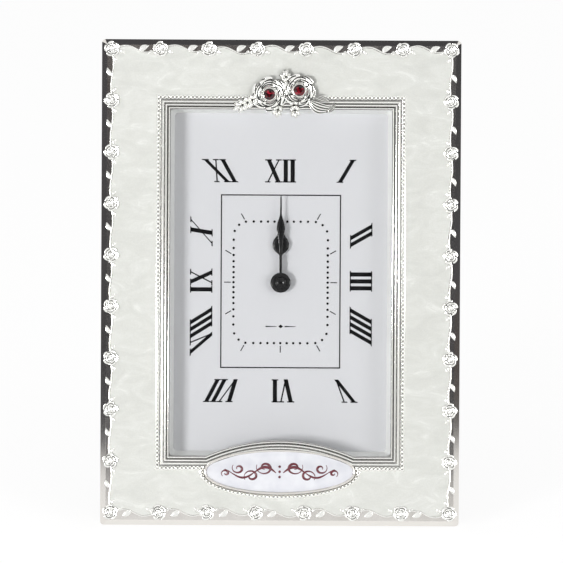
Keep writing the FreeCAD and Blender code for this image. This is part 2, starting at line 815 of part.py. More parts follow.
def movement_case():
    """Front half of the movement: walls, battery bay, neck, bearings and posts."""
    solid = rounded_block(half_move, half_move, move_corner, y_case, y_cover)
    inner = half_move - move_wall
    room = box(-inner, inner, y_case_floor, y_cover + overrun, bay_top + move_wall, inner)
    bay = box(-inner, inner, y_case_floor, y_cover + overrun, -inner, bay_top)
    solid = solid.cut(room).cut(bay)
    solid = solid.fuse(disc(neck_radius, y_dial_front - neck_stand, y_case_floor))
    solid = solid.cut(disc(neck_bore, y_dial_front - neck_stand - overrun, y_case_floor + overrun))
    bosses = []
    y_root = y_case_floor - move_wall / 2
    for (x, z), y_end in ((third_place, y_layer[2] - layer_gap), (rotor_place, y_layer[2] - layer_gap),
                          (setting_place, y_layer[1] - layer_gap)):
        bosses.append(post(boss_radius, y_root, y_end, x, z))
    bosses.append(disc(pivot_radius, y_root, y_layer[1] + wheel_thick, *transfer_place))
    for x, z in bridge_posts:
        bosses.append(post(post_radius, y_root, y_bridge, x, z))
    for side in (-1, 1):
        x = circuit_x + side * (circuit_width / 2 - post_radius)
        bosses.append(post(post_radius, y_root, circuit_y, x, circuit_z))
    for z in (coil_low_z - stator_arm_width, coil_high_z + stator_arm_width):
        bosses.append(post(post_radius, y_root, stator_y, coil_x, z))
    solid = solid.fuse(bosses)
    for (x, z), y_end in ((third_place, y_layer[2]), (rotor_place, y_layer[2]), (setting_place, y_layer[1])):
        solid = solid.cut(disc(pivot_radius + fit_gap, y_case_floor, y_end, x, z))
    return solid.removeSplitter()


def movement_cover():
    """Rear cover of the wheel room, with the hole for the setting shaft."""
    solid = rounded_block(half_move, half_move, move_corner, y_cover, y_cover + cover_thick)
    y0, y1 = y_cover - overrun, y_cover + cover_thick + overrun
    solid = solid.cut(box(-move_size, move_size, y0, y1, -move_size, bay_top))
    hole = disc(setting_shaft_radius + fit_gap, y0, y1, *setting_place)
    return solid.cut(hole)


def foam_pad():
    """Thin sticky pad between the dial and the movement."""
    pad = rounded_block(half_move, half_move, move_corner, y_board_front, y_case)
    return pad.cut(disc(neck_radius + fit_gap, y_board_front - overrun, y_case + overrun))


def train_bridge():
    """Plate over the wheels with their rear bearings and the fifth wheel's stud."""
    solid = prism(bridge_outline, y_bridge, y_bridge + bridge_thick)
    y0, y1 = y_bridge - overrun, y_bridge + bridge_thick + overrun
    for place in (third_place, rotor_place):
        solid = solid.cut(disc(pivot_radius + fit_gap, y0, y1, *place))
    solid = solid.cut(disc(seconds_arbor_radius + fit_gap, y0, y1))
    solid = solid.cut(disc(setting_shaft_radius + fit_gap, y0, y1, *setting_place))
    return solid.fuse(disc(pivot_radius, y_layer[4] - layer_gap / 2, y_bridge, *fifth_place))


def minute_arbor():
    """Minute arbor with its pinion, the clutch flange and the seconds arbor's bore."""
    y_front = y_dial_front - minute_hand_lift - hand_hub_thick - cap_height / 2
    y_rear = y_layer[2] + wheel_thick + layer_gap / 4
    solid = disc(minute_arbor_radius, y_front, y_rear)
    solid = solid.fuse(gear(minute_pinion_teeth, module_motion, y_layer[1], *hand_place, 0))
    solid = solid.fuse(disc(clutch_flange_radius, y_layer[1] + wheel_thick, y_layer[2]))
    bore = disc(seconds_arbor_radius + fit_gap, y_rear - seconds_bore_depth, y_rear + overrun)
    return solid.cut(bore)


def hour_wheel():
    """Hour wheel with the pipe that carries the hour hand."""
    y_front = y_dial_front - hour_hand_lift - hand_thick - fit_gap
    solid = gear(hour_wheel_teeth, module_hour, y_layer[0], *hand_place, hour_phase)
    solid = solid.fuse(disc(hour_pipe_radius, y_front, y_layer[0] + wheel_thick / 2))
    return solid.cut(disc(minute_arbor_radius + fit_gap, y_front - overrun, y_layer[1]))


def transfer_wheel():
    """Wheel and pinion that gear the hour wheel down from the minute arbor."""
    solid = gear(transfer_wheel_teeth, module_motion, y_layer[1], *transfer_place, transfer_phase)
    pinion = gear(transfer_pinion_teeth, module_hour, y_layer[0], *transfer_place, 0)
    y_mid = y_layer[0] + wheel_thick
    solid = solid.fuse([pinion, disc(transfer_hub_radius, y_mid, y_layer[1], *transfer_place)])
    y0, y1 = y_layer[0] - overrun, y_layer[1] + wheel_thick + overrun
    return solid.cut(disc(pivot_radius + fit_gap, y0, y1, *transfer_place))


def setting_knob():
    """Setting shaft with its pinion inside and the knob outside the cover."""
    x, z = setting_place
    y_knob = y_cover + cover_thick + setting_knob_gap
    solid = disc(setting_shaft_radius, y_layer[1] + wheel_thick / 2, y_knob + setting_knob_height / 2, x, z)
    solid = solid.fuse(gear(minute_pinion_teeth, module_motion, y_layer[1], x, z, setting_phase))
    solid = solid.fuse(disc(pivot_radius, y_case_floor + fit_gap, y_layer[1] + wheel_thick / 2, x, z))
    knob = disc(setting_knob_radius, y_knob, y_knob + setting_knob_height, x, z)
    return solid.fuse(knob)


def centre_wheel():
    """Wheel that drives the minute arbor through its slip fit."""
    solid = gear(centre_wheel_teeth, module_centre, y_layer[2], *hand_place, centre_phase)
    y0, y1 = y_layer[2] - overrun, y_layer[2] + wheel_thick + overrun
    return solid.cut(disc(minute_arbor_radius + fit_gap, y0, y1))


def third_wheel():
    """Third wheel with its pinion and arbor."""
    solid = gear(third_wheel_teeth, module_motion, y_layer[3], *third_place, third_wheel_phase)
    pinion = gear(third_pinion_teeth, module_centre, y_layer[2], *third_place, 0)
    arbor = disc(pivot_radius, y_case_floor + fit_gap, y_bridge + bridge_thick, *third_place)
    return solid.fuse([pinion, arbor])


def seconds_wheel():
    """Seconds wheel with its pinion and the arbor that ends inside the minute arbor."""
    solid = gear(seconds_wheel_teeth, module_fine, y_layer[4], *hand_place, 0)
    pinion = gear(seconds_pinion_teeth, module_motion, y_layer[3], *hand_place, 0)
    y_front = y_layer[2] + wheel_thick + layer_gap / 4 - seconds_bore_depth + fit_gap
    arbor = disc(seconds_arbor_radius, y_front, y_bridge + bridge_thick)
    return solid.fuse([pinion, arbor])


def fifth_wheel():
    """Fifth wheel with its pinion, turning on the bridge's stud."""
    solid = gear(fifth_wheel_teeth, module_fine, y_layer[5], *fifth_place, 0)
    pinion = gear(fifth_pinion_teeth, module_fine, y_layer[4], *fifth_place, fifth_pinion_phase)
    y_mid = y_layer[4] + wheel_thick
    root = module_fine * (fifth_pinion_teeth / 2 - dedendum_share)
    solid = solid.fuse([pinion, disc(root, y_mid, y_layer[5], *fifth_place)])
    bore = disc(pivot_radius + fit_gap, y_layer[4] - overrun, y_bridge, *fifth_place)
    return solid.cut(bore)


stator_y = y_layer[3] - layer_gap / 2
rotor_y = stator_y + stator_thick / 2 - rotor_length / 2


def rotor():
    """Magnet of the stepping motor on its arbor, with the pinion behind it."""
    solid = disc(rotor_radius, rotor_y, rotor_y + rotor_length, *rotor_place)
    pinion = gear(rotor_pinion_teeth, module_fine, y_layer[5], *rotor_place, rotor_phase)
    arbor = disc(pivot_radius, y_case_floor + fit_gap, y_bridge + bridge_thick, *rotor_place)
    return solid.fuse([pinion, arbor])


def stator_plate():
    """Iron plate round the rotor with an arm to each end of the coil core."""
    x, z = rotor_place
    outer = rotor_radius + stator_gap + stator_ring_width
    y0, y1 = stator_y, stator_y + stator_thick
    low = coil_low_z - stator_arm_width
    high = coil_high_z + stator_arm_width
    half = stator_arm_width / 2 + fit_gap
    ring = disc(outer, y0, y1, x, z)
    foot = box(x, coil_x + half, y0, y1, low - half, low + half)
    post = box(x - stator_arm_width / 2, x + stator_arm_width / 2, y0, y1, z, high + half)
    head = box(x, coil_x + half, y0, y1, high - half, high + half)
    plate = ring.fuse([foot, post, head])
    return plate.cut(disc(rotor_radius + stator_gap, y0 - overrun, y1 + overrun, x, z)).removeSplitter()


def coil_core():
    """Iron bar through the coil, resting on the stator's two arms."""
    y0 = stator_y + stator_thick
    z0, z1 = coil_low_z - stator_arm_width * 1.5, coil_high_z + stator_arm_width * 1.5
    return box(coil_x - core_width / 2, coil_x + core_width / 2, y0, y0 + core_thick, z0, z1)


coil_y = stator_y + stator_thick + core_thick / 2


def bar_up(radius, z0, z1):
    """Round bar along z on the coil's axis."""
    return Part.makeCylinder(radius, z1 - z0, V(coil_x, coil_y, z0), UP)


def coil_block(half_w, half_t, z0, z1):
    """Block about the coil's axis."""
    return box(coil_x - half_w, coil_x + half_w, coil_y - half_t, coil_y + half_t, z0, z1)


def coil_bobbin():
    """Moulded bobbin: a square tube with a flange at each end."""
    tube_w, tube_t = core_width / 2 + fit_gap + bobbin_wall, core_thick / 2 + fit_gap + bobbin_wall
    solid = coil_block(tube_w, tube_t, coil_low_z, coil_high_z)
    flange = bobbin_flange_radius
    solid = solid.fuse([coil_block(flange, flange, coil_low_z, coil_low_z + bobbin_flange_thick),
                        coil_block(flange, flange, coil_high_z - bobbin_flange_thick, coil_high_z)])
    slot_w, slot_t = core_width / 2 + fit_gap, core_thick / 2 + fit_gap
    return solid.cut(coil_block(slot_w, slot_t, coil_low_z - overrun, coil_high_z + overrun))


def coil_winding():
    """Enamelled wire as one closed winding between the flanges."""
    z0, z1 = coil_low_z + bobbin_flange_thick, coil_high_z - bobbin_flange_thick
    tube_w, tube_t = core_width / 2 + fit_gap + bobbin_wall, core_thick / 2 + fit_gap + bobbin_wall
    return bar_up(winding_radius, z0, z1).cut(coil_block(tube_w, tube_t, z0 - overrun, z1 + overrun))


def circuit_board():
    """Small board on two posts."""
    half_w, half_h = circuit_width / 2, circuit_height / 2
    return box(circuit_x - half_w, circuit_x + half_w, circuit_y, circuit_y + circuit_thick,
               circuit_z - half_h, circuit_z + half_h)


def timing_chip():
    """Round drop of resin over the chip."""
    y0 = circuit_y + circuit_thick
    x = circuit_x - circuit_width / 4
    return Part.makeCone(chip_radius, chip_radius / 2, chip_height, V(x, y0, circuit_z), BACK)


def quartz_can():
    """Quartz crystal in its little can, lying on the board."""
    y = circuit_y + circuit_thick + can_radius
    start = V(circuit_x + circuit_width / 4, y, circuit_z - can_length / 2)
    return Part.makeCylinder(can_radius, can_length, start, UP)


def battery():
    """Single cell with its nub, lying along x in the open bay."""
    x0 = -(battery_length + nub_length) / 2 + contact_spring / 2
    cell = Part.makeCylinder(battery_radius, battery_length, V(x0, battery_y, battery_z), SIDE)
    nub = Part.makeCylinder(nub_diameter / 2, nub_length, V(x0 + battery_length, battery_y, battery_z), SIDE)
    return cell.fuse(nub)


def contact_plus():
    """Flat contact at the nub's end of the bay."""
    x1 = half_move - move_wall
    half = contact_width / 2
    return box(x1 - contact_thick, x1, y_case_floor, battery_y + half, battery_z - half, battery_z + half)


def contact_minus():
    """Bent leaf contact that presses on the flat end of the cell."""
    x0 = -half_move + move_wall
    x_tip = -(battery_length + nub_length) / 2 + contact_spring / 2 - body_gap
    y0, y1 = y_case_floor, battery_y + contact_width / 2
    bend = contact_thick
    points = [V(x0, y0, 0), V(x0 + bend, y0, 0), V(x0 + bend, battery_y - contact_width / 4, 0),
              V(x_tip, battery_y, 0), V(x0 + bend, y1, 0), V(x0, y1, 0)]
    leaf_face = Part.Face(Part.makePolygon(points + points[:1]))
    half = contact_width / 2
    leaf_face.translate(V(0, 0, battery_z - half))
    return leaf_face.extrude(V(0, 0, contact_width))


def hand_outline(length, shares, widths, y0):
    """Flat hand from the hub out to its tip, from mirrored half-widths along its length."""
    side = [(width, share * length) for share, width in zip(shares, widths)]
    points = side + [(-x, z) for x, z in reversed(side)]
    return prism(points, y0, y0 + hand_thick)


def hour_hand():
    """Spade-shaped hour hand pressed on the pipe."""
    y0 = y_dial_front - hour_hand_lift - hand_thick
    widths = [hour_leaf_half * share for share in hour_width_shares]
    widths[0] = widths[1] = hour_stem_half
    solid = hand_outline(hour_length, hour_leaf_shares, widths, y0)
    solid = solid.fuse(disc(hour_hub_radius, y0, y0 + hand_thick))
    return solid.cut(disc(hour_pipe_radius, y0 - overrun, y0 + hand_thick + overrun))


def minute_hand():
    """Minute hand: long needle with a leaf, and a round hub."""
    y1 = y_dial_front - minute_hand_lift
    y0 = y1 - hand_thick
    stem, widest, needle = minute_leaf_shares
    middle = (stem + widest) / 2
    shares = (0.0, stem, middle, widest, (widest + needle) / 2, needle, 1.0)
    widths = (minute_stem_half, minute_stem_half, (minute_stem_half + minute_leaf_half) / 2, minute_leaf_half,
              (minute_leaf_half + minute_needle_half) / 2, minute_needle_half, minute_needle_half / 2)
    solid = hand_outline(minute_length, shares, widths, y0)
    solid = solid.fuse(disc(hand_hub_radius, y1 - hand_hub_thick, y1))
    return solid.cut(disc(minute_arbor_radius, y1 - hand_hub_thick - overrun, y1 + overrun))


def hand_cap():
    """Cap pressed over the end of the minute arbor."""
    y1 = y_dial_front - minute_hand_lift - hand_hub_thick
    y0 = y1 - cap_height
    solid = disc(cap_radius, y0 + cap_height / 3, y1)
    solid = solid.fuse(Part.makeCone(cap_radius * 0.75, cap_radius, cap_height / 3, V(0, y0, 0), BACK))
    return solid.cut(disc(minute_arbor_radius, y1 - cap_height / 2, y1 + overrun))


def build_pieces():
    """All pieces of the upright clock by node name."""
    pieces = {
        "frame_shell": frame_shell(), "enamel_panel": enamel_panel(), "bead_rail": bead_rail(),
        "border_roses": border_roses(), "border_vine": border_vine(), "border_leaves": border_leaves(),
        "rose_spray": rose_spray(), "crystal_left": crystal(*spray_roses()[0][:2]),
        "crystal_right": crystal(*spray_roses()[1][:2]), "oval_plaque": oval_plaque(),
        "window_glass": window_glass(), "spacer_frame": spacer_frame(), "dial_plate": dial_plate(),
        "back_board": back_board(), "button_rivets": button_rivets(), "hinge_rivets": hinge_rivets(),
        "strut_hinge_plate": strut_hinge_plate(), "strut_hinge_pin": strut_hinge_pin(),
        "strut_hinge_leaf": strut_hinge_leaf(), "strut_panel": strut_panel(),
        "movement_case": movement_case(), "movement_cover": movement_cover(), "foam_pad": foam_pad(),
        "train_bridge": train_bridge(), "circuit_board": circuit_board(), "timing_chip": timing_chip(),
        "quartz_can": quartz_can(), "coil_winding": coil_winding(), "coil_bobbin": coil_bobbin(),
        "coil_core": coil_core(), "stator_plate": stator_plate(), "rotor": rotor(),
        "fifth_wheel": fifth_wheel(), "seconds_wheel": seconds_wheel(), "third_wheel": third_wheel(),
        "centre_wheel": centre_wheel(), "minute_arbor": minute_arbor(), "transfer_wheel": transfer_wheel(),
        "hour_wheel": hour_wheel(), "setting_knob": setting_knob(), "battery": battery(),
        "contact_plus": contact_plus(), "contact_minus": contact_minus(),
        "hour_hand": hour_hand(), "minute_hand": minute_hand(), "hand_cap": hand_cap(),
    }
    for i, (x, z, side) in enumerate(button_places()):
        pieces["turn_button_%d" % (i + 1)] = turn_button(x, z, side)
    return pieces


def stand_on_ground(pieces):
    """Lean every piece back, cut frame and strut level, and centre the clock on the origin."""
    lowest = -frame_height / 2 + ground_flat
    for name, shape in pieces.items():
        shape.translate(V(0, 0, -lowest))
        shape.rotate(V(0, 0, 0), SIDE, -lean_angle)
    reach = frame_height
    below = box(-reach, reach, -reach, reach, -reach, 0)
    for name in ("frame_shell", "strut_panel"):
        pieces[name] = pieces[name].cut(below)
    bounds = Part.makeCompound(list(pieces.values())).optimalBoundingBox(False)
    shift = V(0, -(bounds.YMin + bounds.YMax) / 2, -bounds.ZMin)
    for name in pieces:
        pieces[name].translate(shift)
    return shift


def leaned_point(x, y, z, shift):
    """Where a point of the upright clock ends up on the standing clock."""
    angle = math.radians(lean_angle)
    rise = z + frame_height / 2 - ground_flat
    back = y * math.cos(angle) + rise * math.sin(angle)
    up = rise * math.cos(angle) - y * math.sin(angle)
    return V(x, back, up) + shift


def main():
    """Build, stand and write every piece, and print the places that the record needs."""
    pieces = build_pieces()
    shift = stand_on_ground(pieces)
    for name, shape in sorted(pieces.items()):
        shape.exportStep("parts/" + name + ".step")
    wheels = {"hand_axis": hand_place, "transfer": transfer_place, "setting": setting_place,
              "fifth": fifth_place, "rotor": rotor_place, "third": third_place}
    places = {name: (x, y_dial_front, z) for name, (x, z) in wheels.items()}
    places.update({"strut": (0, hinge_y, hinge_z), "battery": (0, battery_y, battery_z)})
    for i, (x, z, side) in enumerate(button_places()):
        places["button_%d" % (i + 1)] = (x, y_board_back, z)
    for name, (x, y, z) in places.items():
        point = leaned_point(x, y, z, shift)
        print("place %s %.4f %.4f %.4f" % (name, point.x, point.y, point.z))


main()
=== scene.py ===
import json
import math

import bpy
import numpy as np
from bpy.props import FloatProperty, FloatVectorProperty, IntProperty, PointerProperty
from mathutils import Matrix, Vector


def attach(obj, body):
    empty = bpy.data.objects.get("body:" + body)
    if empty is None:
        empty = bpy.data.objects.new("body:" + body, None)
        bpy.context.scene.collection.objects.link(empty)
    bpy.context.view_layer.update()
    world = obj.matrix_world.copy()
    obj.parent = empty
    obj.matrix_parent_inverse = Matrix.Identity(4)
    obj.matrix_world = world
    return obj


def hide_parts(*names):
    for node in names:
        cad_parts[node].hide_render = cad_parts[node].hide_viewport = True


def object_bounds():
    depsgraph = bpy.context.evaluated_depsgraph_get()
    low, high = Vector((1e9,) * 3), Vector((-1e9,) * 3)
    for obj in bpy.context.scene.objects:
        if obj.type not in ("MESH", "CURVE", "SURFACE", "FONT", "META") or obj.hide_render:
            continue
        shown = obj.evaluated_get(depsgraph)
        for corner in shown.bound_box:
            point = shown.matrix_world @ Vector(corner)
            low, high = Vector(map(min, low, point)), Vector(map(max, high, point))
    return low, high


bl_info = {
    "name": "Photo Frame Clock",
    "version": (1, 0, 0),
    "blender": (4, 5, 0),
    "location": "3D View > Sidebar > Frame Clock",
    "description": "Dresses the packed photo frame clock with its castings, enamel, dial, hands and back",
    "category": "Object",
}

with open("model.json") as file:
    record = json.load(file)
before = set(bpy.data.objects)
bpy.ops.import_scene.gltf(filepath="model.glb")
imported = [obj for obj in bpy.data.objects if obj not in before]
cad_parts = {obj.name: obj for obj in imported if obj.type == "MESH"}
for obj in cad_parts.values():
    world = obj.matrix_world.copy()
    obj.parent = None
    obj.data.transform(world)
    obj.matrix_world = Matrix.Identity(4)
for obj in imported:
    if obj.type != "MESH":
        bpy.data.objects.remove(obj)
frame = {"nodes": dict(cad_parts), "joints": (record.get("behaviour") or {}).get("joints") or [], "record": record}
CAD_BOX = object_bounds()

MM = 0.001
HANDS = next(j for j in frame["joints"] if j["name"] == "minute_turn")
DIAL_CENTRE = np.array(HANDS["pos_m"], float)
RIGHT = np.array((1.0, 0.0, 0.0))
INWARD = np.array(HANDS["axis"], float) / np.linalg.norm(HANDS["axis"])
UP = np.cross(RIGHT, INWARD)


def leaned(u, v, h):
    """Points on the leaning clock in mm: u to the right and v up from the hands' axis, h out of the dial."""
    u, v, h = np.broadcast_arrays(np.asarray(u, float), np.asarray(v, float), np.asarray(h, float))
    spread = u[..., None] * RIGHT + v[..., None] * UP - h[..., None] * INWARD
    return DIAL_CENTRE + spread * MM


def leaned_box(name):
    """Lowest and highest (u, v, h) of a CAD node in mm, in the leaning clock's own directions."""
    mesh = frame["nodes"][name].data
    points = np.empty(len(mesh.vertices) * 3)
    mesh.vertices.foreach_get("co", points)
    away = points.reshape(-1, 3) - DIAL_CENTRE
    own = np.stack((away @ RIGHT, away @ UP, -(away @ INWARD)), axis=1) / MM
    return own.min(axis=0), own.max(axis=0)


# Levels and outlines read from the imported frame, in mm
FACE = leaned_box("enamel_panel")[1][2]
FRAME_LOW, FRAME_HIGH = leaned_box("frame_shell")
MOULDING_TOP = FRAME_HIGH[2]
DIAL_FRONT = leaned_box("dial_plate")[1][2]
MID_V = (FRAME_LOW[1] + FRAME_HIGH[1]) / 2
OVAL_LOW, OVAL_HIGH = leaned_box("oval_plaque")
OVAL_V = (OVAL_LOW[1] + OVAL_HIGH[1]) / 2
OVAL_HALF = (OVAL_HIGH[:2] - OVAL_LOW[:2]) / 2


def middle(name):
    """Middle (u, v) of a CAD node, in mm."""
    low, high = leaned_box(name)
    return (low[0] + high[0]) / 2, (low[1] + high[1]) / 2


def polar(radius, angle):
    """(u, v) at a radius and at an angle from the right."""
    return np.stack((radius * np.cos(angle), radius * np.sin(angle)), axis=-1)


def round_turn(count):
    """A full turn in equal steps, without its end."""
    return np.linspace(0, 2 * math.pi, count, endpoint=False)


def directions(runs):
    """Unit vectors of runs, and the same turned a quarter to the left."""
    ahead = runs / np.linalg.norm(runs, axis=-1, keepdims=True)
    return ahead, np.stack((-ahead[..., 1], ahead[..., 0]), axis=-1)


# Mesh helpers

def grid_faces(rows, cols, wrap_rows=False, wrap_cols=False, first=0):
    """Quads of a grid of points stored row by row, its last row or column joined to its first if asked."""
    r = np.arange(rows if wrap_rows else rows - 1)
    c = np.arange(cols if wrap_cols else cols - 1)
    r, c = np.meshgrid(r, c, indexing="ij")
    r2, c2 = (r + 1) % rows, (c + 1) % cols
    quads = np.stack((r * cols + c, r * cols + c2, r2 * cols + c2, r2 * cols + c), axis=-1)
    return quads.reshape(-1, 4) + first


def fan_faces(ring, pole, flip=False):
    """Triangles from a ring of point numbers to one pole point."""
    ring = np.asarray(ring)
    after = np.roll(ring, -1)
    tris = np.stack((ring, after, np.full(len(ring), pole)), axis=1)
    return tris[:, ::-1] if flip else tris


def ring_faces(rows, cols):
    """Quads between rows of closed rings, and fans from the end rings to two poles stored after them."""
    ring = np.arange(cols)
    return [grid_faces(rows, cols, False, True), fan_faces(ring, rows * cols, True),
            fan_faces(ring + (rows - 1) * cols, rows * cols + 1)]


def joined(parts):
    """One (points, list of face arrays) from several, with the point numbers moved on. A fourth column is the
    painted crease shade of a point, 0 for parts that don't give it."""
    points, faces, first = [], [], 0
    for part_points, part_faces in parts:
        part_points = np.asarray(part_points, float)
        part_points = part_points.reshape(-1, part_points.shape[-1])
        points.append(np.pad(part_points, ((0, 0), (0, 4 - part_points.shape[1]))))
        faces.extend(np.asarray(f) + first for f in part_faces)
        first += len(part_points)
    return np.concatenate(points), faces


def crease_shaded(shape, crease_shade):
    """A shape with the same painted crease shade at all its points."""
    return np.insert(shape[0], 3, crease_shade, axis=1), shape[1]


def copies(points, faces, shifts):
    """A shape repeated: shifts holds one array of points for each copy, all as long as the shape."""
    shifts = np.asarray(shifts, float)
    count, size = shifts.shape[0], shifts.shape[1]
    out = []
    for f in faces:
        step = np.arange(count)[:, None, None] * size
        out.append((np.asarray(f)[None] + step).reshape(-1, f.shape[1]))
    return shifts.reshape(-1, shifts.shape[2]), out


def piece(name, shape, finish, body="frame", stands_for=None, sharp=None):
    """Makes the mesh object of a shape in its finish, and lets it ride on its body and stand for a CAD node.
    Where the points have a fourth column, their painted crease shade, it becomes the map "along"."""
    points, faces = shape
    points = np.asarray(points, float)
    points = points.reshape(-1, points.shape[-1])
    if not np.isfinite(points).all():
        raise ValueError(name + " has a point that is not a number")
    mesh = bpy.data.meshes.new(name)
    mesh.from_pydata(points[:, :3].tolist(), [],
                     [tuple(row) for f in faces for row in np.asarray(f).tolist()])
    mesh.validate()
    mesh.polygons.foreach_set("use_smooth", np.ones(len(mesh.polygons), bool))
    if sharp is not None:
        mesh.set_sharp_from_angle(angle=math.radians(sharp))
    if points.shape[1] == 4:
        corner = np.empty(len(mesh.loops), np.int32)
        mesh.loops.foreach_get("vertex_index", corner)
        mesh.uv_layers.new(name="along").data.foreach_set("uv", (points[corner, 3:] * (1, 0)).ravel())
    mesh.update()
    mesh.materials.append(bpy.data.materials[finish])
    made = bpy.data.objects.new(name, mesh)
    bpy.context.scene.collection.objects.link(made)
    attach(made, body)
    if stands_for:
        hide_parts(stands_for)


def dress(finish, *names):
    """Gives CAD nodes their finish."""
    for name in names:
        data = frame["nodes"][name].data
        data.materials.clear()
        data.materials.append(bpy.data.materials[finish])


# Outlines on the face, in mm

def carried(outline, profile, close_profile=True):
    """A profile carried round an outline: outline(offset) gives the closed loop at that offset, and each
    profile point is (offset outward, height). The surface is outline(offset_j)[i] at height_j."""
    profile = np.asarray(profile, float)
    rows = [outline(offset) for offset, height in profile]
    points = np.stack([leaned(row[:, 0], row[:, 1], height) for row, (offset, height) in zip(rows, profile)])
    return points.reshape(-1, 3), [grid_faces(len(profile), points.shape[1], close_profile, True)]


def softened(width, height, radius, count):
    """A clockwise loop of a rectangle with rounded corners about the dial's centre: an arc at each corner and
    a straight run to the next, each an eighth of the points."""
    turn = np.linspace(0, 0.5 * math.pi, count // 8, endpoint=False)
    share = np.linspace(0, 1, count // 8, endpoint=False)[:, None]
    centres = np.array(((1, 1), (1, -1), (-1, -1), (-1, 1))) * (width / 2 - radius, height / 2 - radius)
    rows = []
    for k, (centre, following) in enumerate(zip(centres, np.roll(centres, -1, axis=0))):
        rows.append(centre + polar(radius, 0.5 * math.pi * (1 - k) - turn))
        rows.append(centre + polar(radius, -0.5 * math.pi * k) + (following - centre) * share)
    return np.concatenate(rows)


# Materials

def rgb(colour):
    """Linear red, green, blue and alpha from an sRGB hex colour."""
    value = np.array([int(colour.lstrip("#")[i:i + 2], 16) for i in (0, 2, 4)]) / 255
    linear = np.where(value <= 0.04045, value / 12.92, ((value + 0.055) / 1.055) ** 2.4)
    return (*linear.tolist(), 1.0)


def add(material, kind, settings=None, links=None, **attributes):
    """Adds a node with its socket settings, the links into it, and its own attributes."""
    made = material.node_tree.nodes.new(kind)
    for name, value in attributes.items():
        setattr(made, name, value)
    for socket, value in (settings or {}).items():
        made.inputs[socket].default_value = value
    for socket, source in (links or {}).items():
        material.node_tree.links.new(source, made.inputs[socket])
    return made


def wire(material, source, node, socket):
    """Links one output to a node's socket."""
    material.node_tree.links.new(source, node.inputs[socket])


def finish_named(name, base, roughness, metallic=0.0, **sockets):
    """A material with its Principled shader set from constants; returns the material and the shader."""
    material = bpy.data.materials.new(name)
    material.use_nodes = True
    material.diffuse_color = rgb(base)
    shader = material.node_tree.nodes["Principled BSDF"]
    constants = {"Base Color": rgb(base), "Roughness": roughness, "Metallic": metallic}
    for socket, value in {**constants, **sockets}.items():
        shader.inputs[socket.replace("_", " ")].default_value = value
    return material, shader


def math_node(material, operation, a, b):
    """A Math node's result: a and b are outputs or numbers."""
    made = add(material, "ShaderNodeMath", operation=operation)
    for socket, value in enumerate((a, b)):
        if isinstance(value, float):
            made.inputs[socket].default_value = value
        else:
            wire(material, value, made, socket)
    return made.outputs["Value"]


def axis_of(material, vector, axis):
    """One component of a vector output."""
    return add(material, "ShaderNodeSeparateXYZ", links={"Vector": vector}).outputs[axis]


def ramp(material, source, stops, linear=True):
    """A Color Ramp of (position, hex colour) stops on a source."""
    made = add(material, "ShaderNodeValToRGB", links={"Fac": source})
    band = made.color_ramp
    band.interpolation = "LINEAR" if linear else "CONSTANT"
    while len(band.elements) < len(stops):
        band.elements.new(0.5)
    for element, (position, colour) in zip(band.elements, stops):
        element.position = position
        element.color = rgb(colour)
    return made.outputs["Color"]


def object_place(material, size=1.0, turn=(0, 0, 0)):
    """Object coordinates divided by a real size in mm, so a pattern's scale of 1 is that size."""
    where = add(material, "ShaderNodeTexCoord")
    step = tuple(1 / (s * MM) for s in np.broadcast_to(size, 3).tolist())
    return add(material, "ShaderNodeMapping", {"Scale": step, "Rotation": turn},
               {"Vector": where.outputs["Object"]}, vector_type="POINT").outputs["Vector"]


def noise(material, size, detail=3.0, rough=0.5, distortion=0.0, turn=(0, 0, 0)):
    """Noise of a real size in mm."""
    return add(material, "ShaderNodeTexNoise",
               {"Scale": 1.0, "Detail": detail, "Roughness": rough, "Distortion": distortion},
               {"Vector": object_place(material, size, turn)}).outputs["Fac"]


def spread(material, source, low, high, start=0.3, end=0.7):
    """A source brought from start..end to low..high."""
    return add(material, "ShaderNodeMapRange",
               {"From Min": start, "From Max": end, "To Min": low, "To Max": high},
               {"Value": source}).outputs["Result"]


def multiplied(material, first, second, share):
    """One colour multiplied by a share of another."""
    mixed = add(material, "ShaderNodeMix", {"Factor": share}, data_type="RGBA", blend_type="MULTIPLY")
    wire(material, first, mixed, "A")
    wire(material, second, mixed, "B")
    return mixed.outputs["Result"]


def bump(material, source, shader, depth, strength=1.0):
    """Bump of a given depth in mm on a shader."""
    made = add(material, "ShaderNodeBump", {"Strength": strength, "Distance": depth * MM}, {"Height": source})
    wire(material, made.outputs["Normal"], shader, "Normal")


def grained(name, base, roughness, metallic, size, detail, tones, rough_span, relief, relief_size=None,
            **sockets):
    """A finish that follows one noise: size in mm, colour at two shares of it, roughness from and to, and
    relief as its depth in mm and strength. The relief has a noise of its own where relief_size gives one."""
    material, shader = finish_named(name, base, roughness, metallic, **sockets)
    cloud = noise(material, size, detail)
    wire(material, ramp(material, cloud, tones), shader, "Base Color")
    if rough_span:
        wire(material, spread(material, cloud, *rough_span), shader, "Roughness")
    if relief:
        bump(material, noise(material, relief_size, 2.0) if relief_size else cloud, shader, *relief)


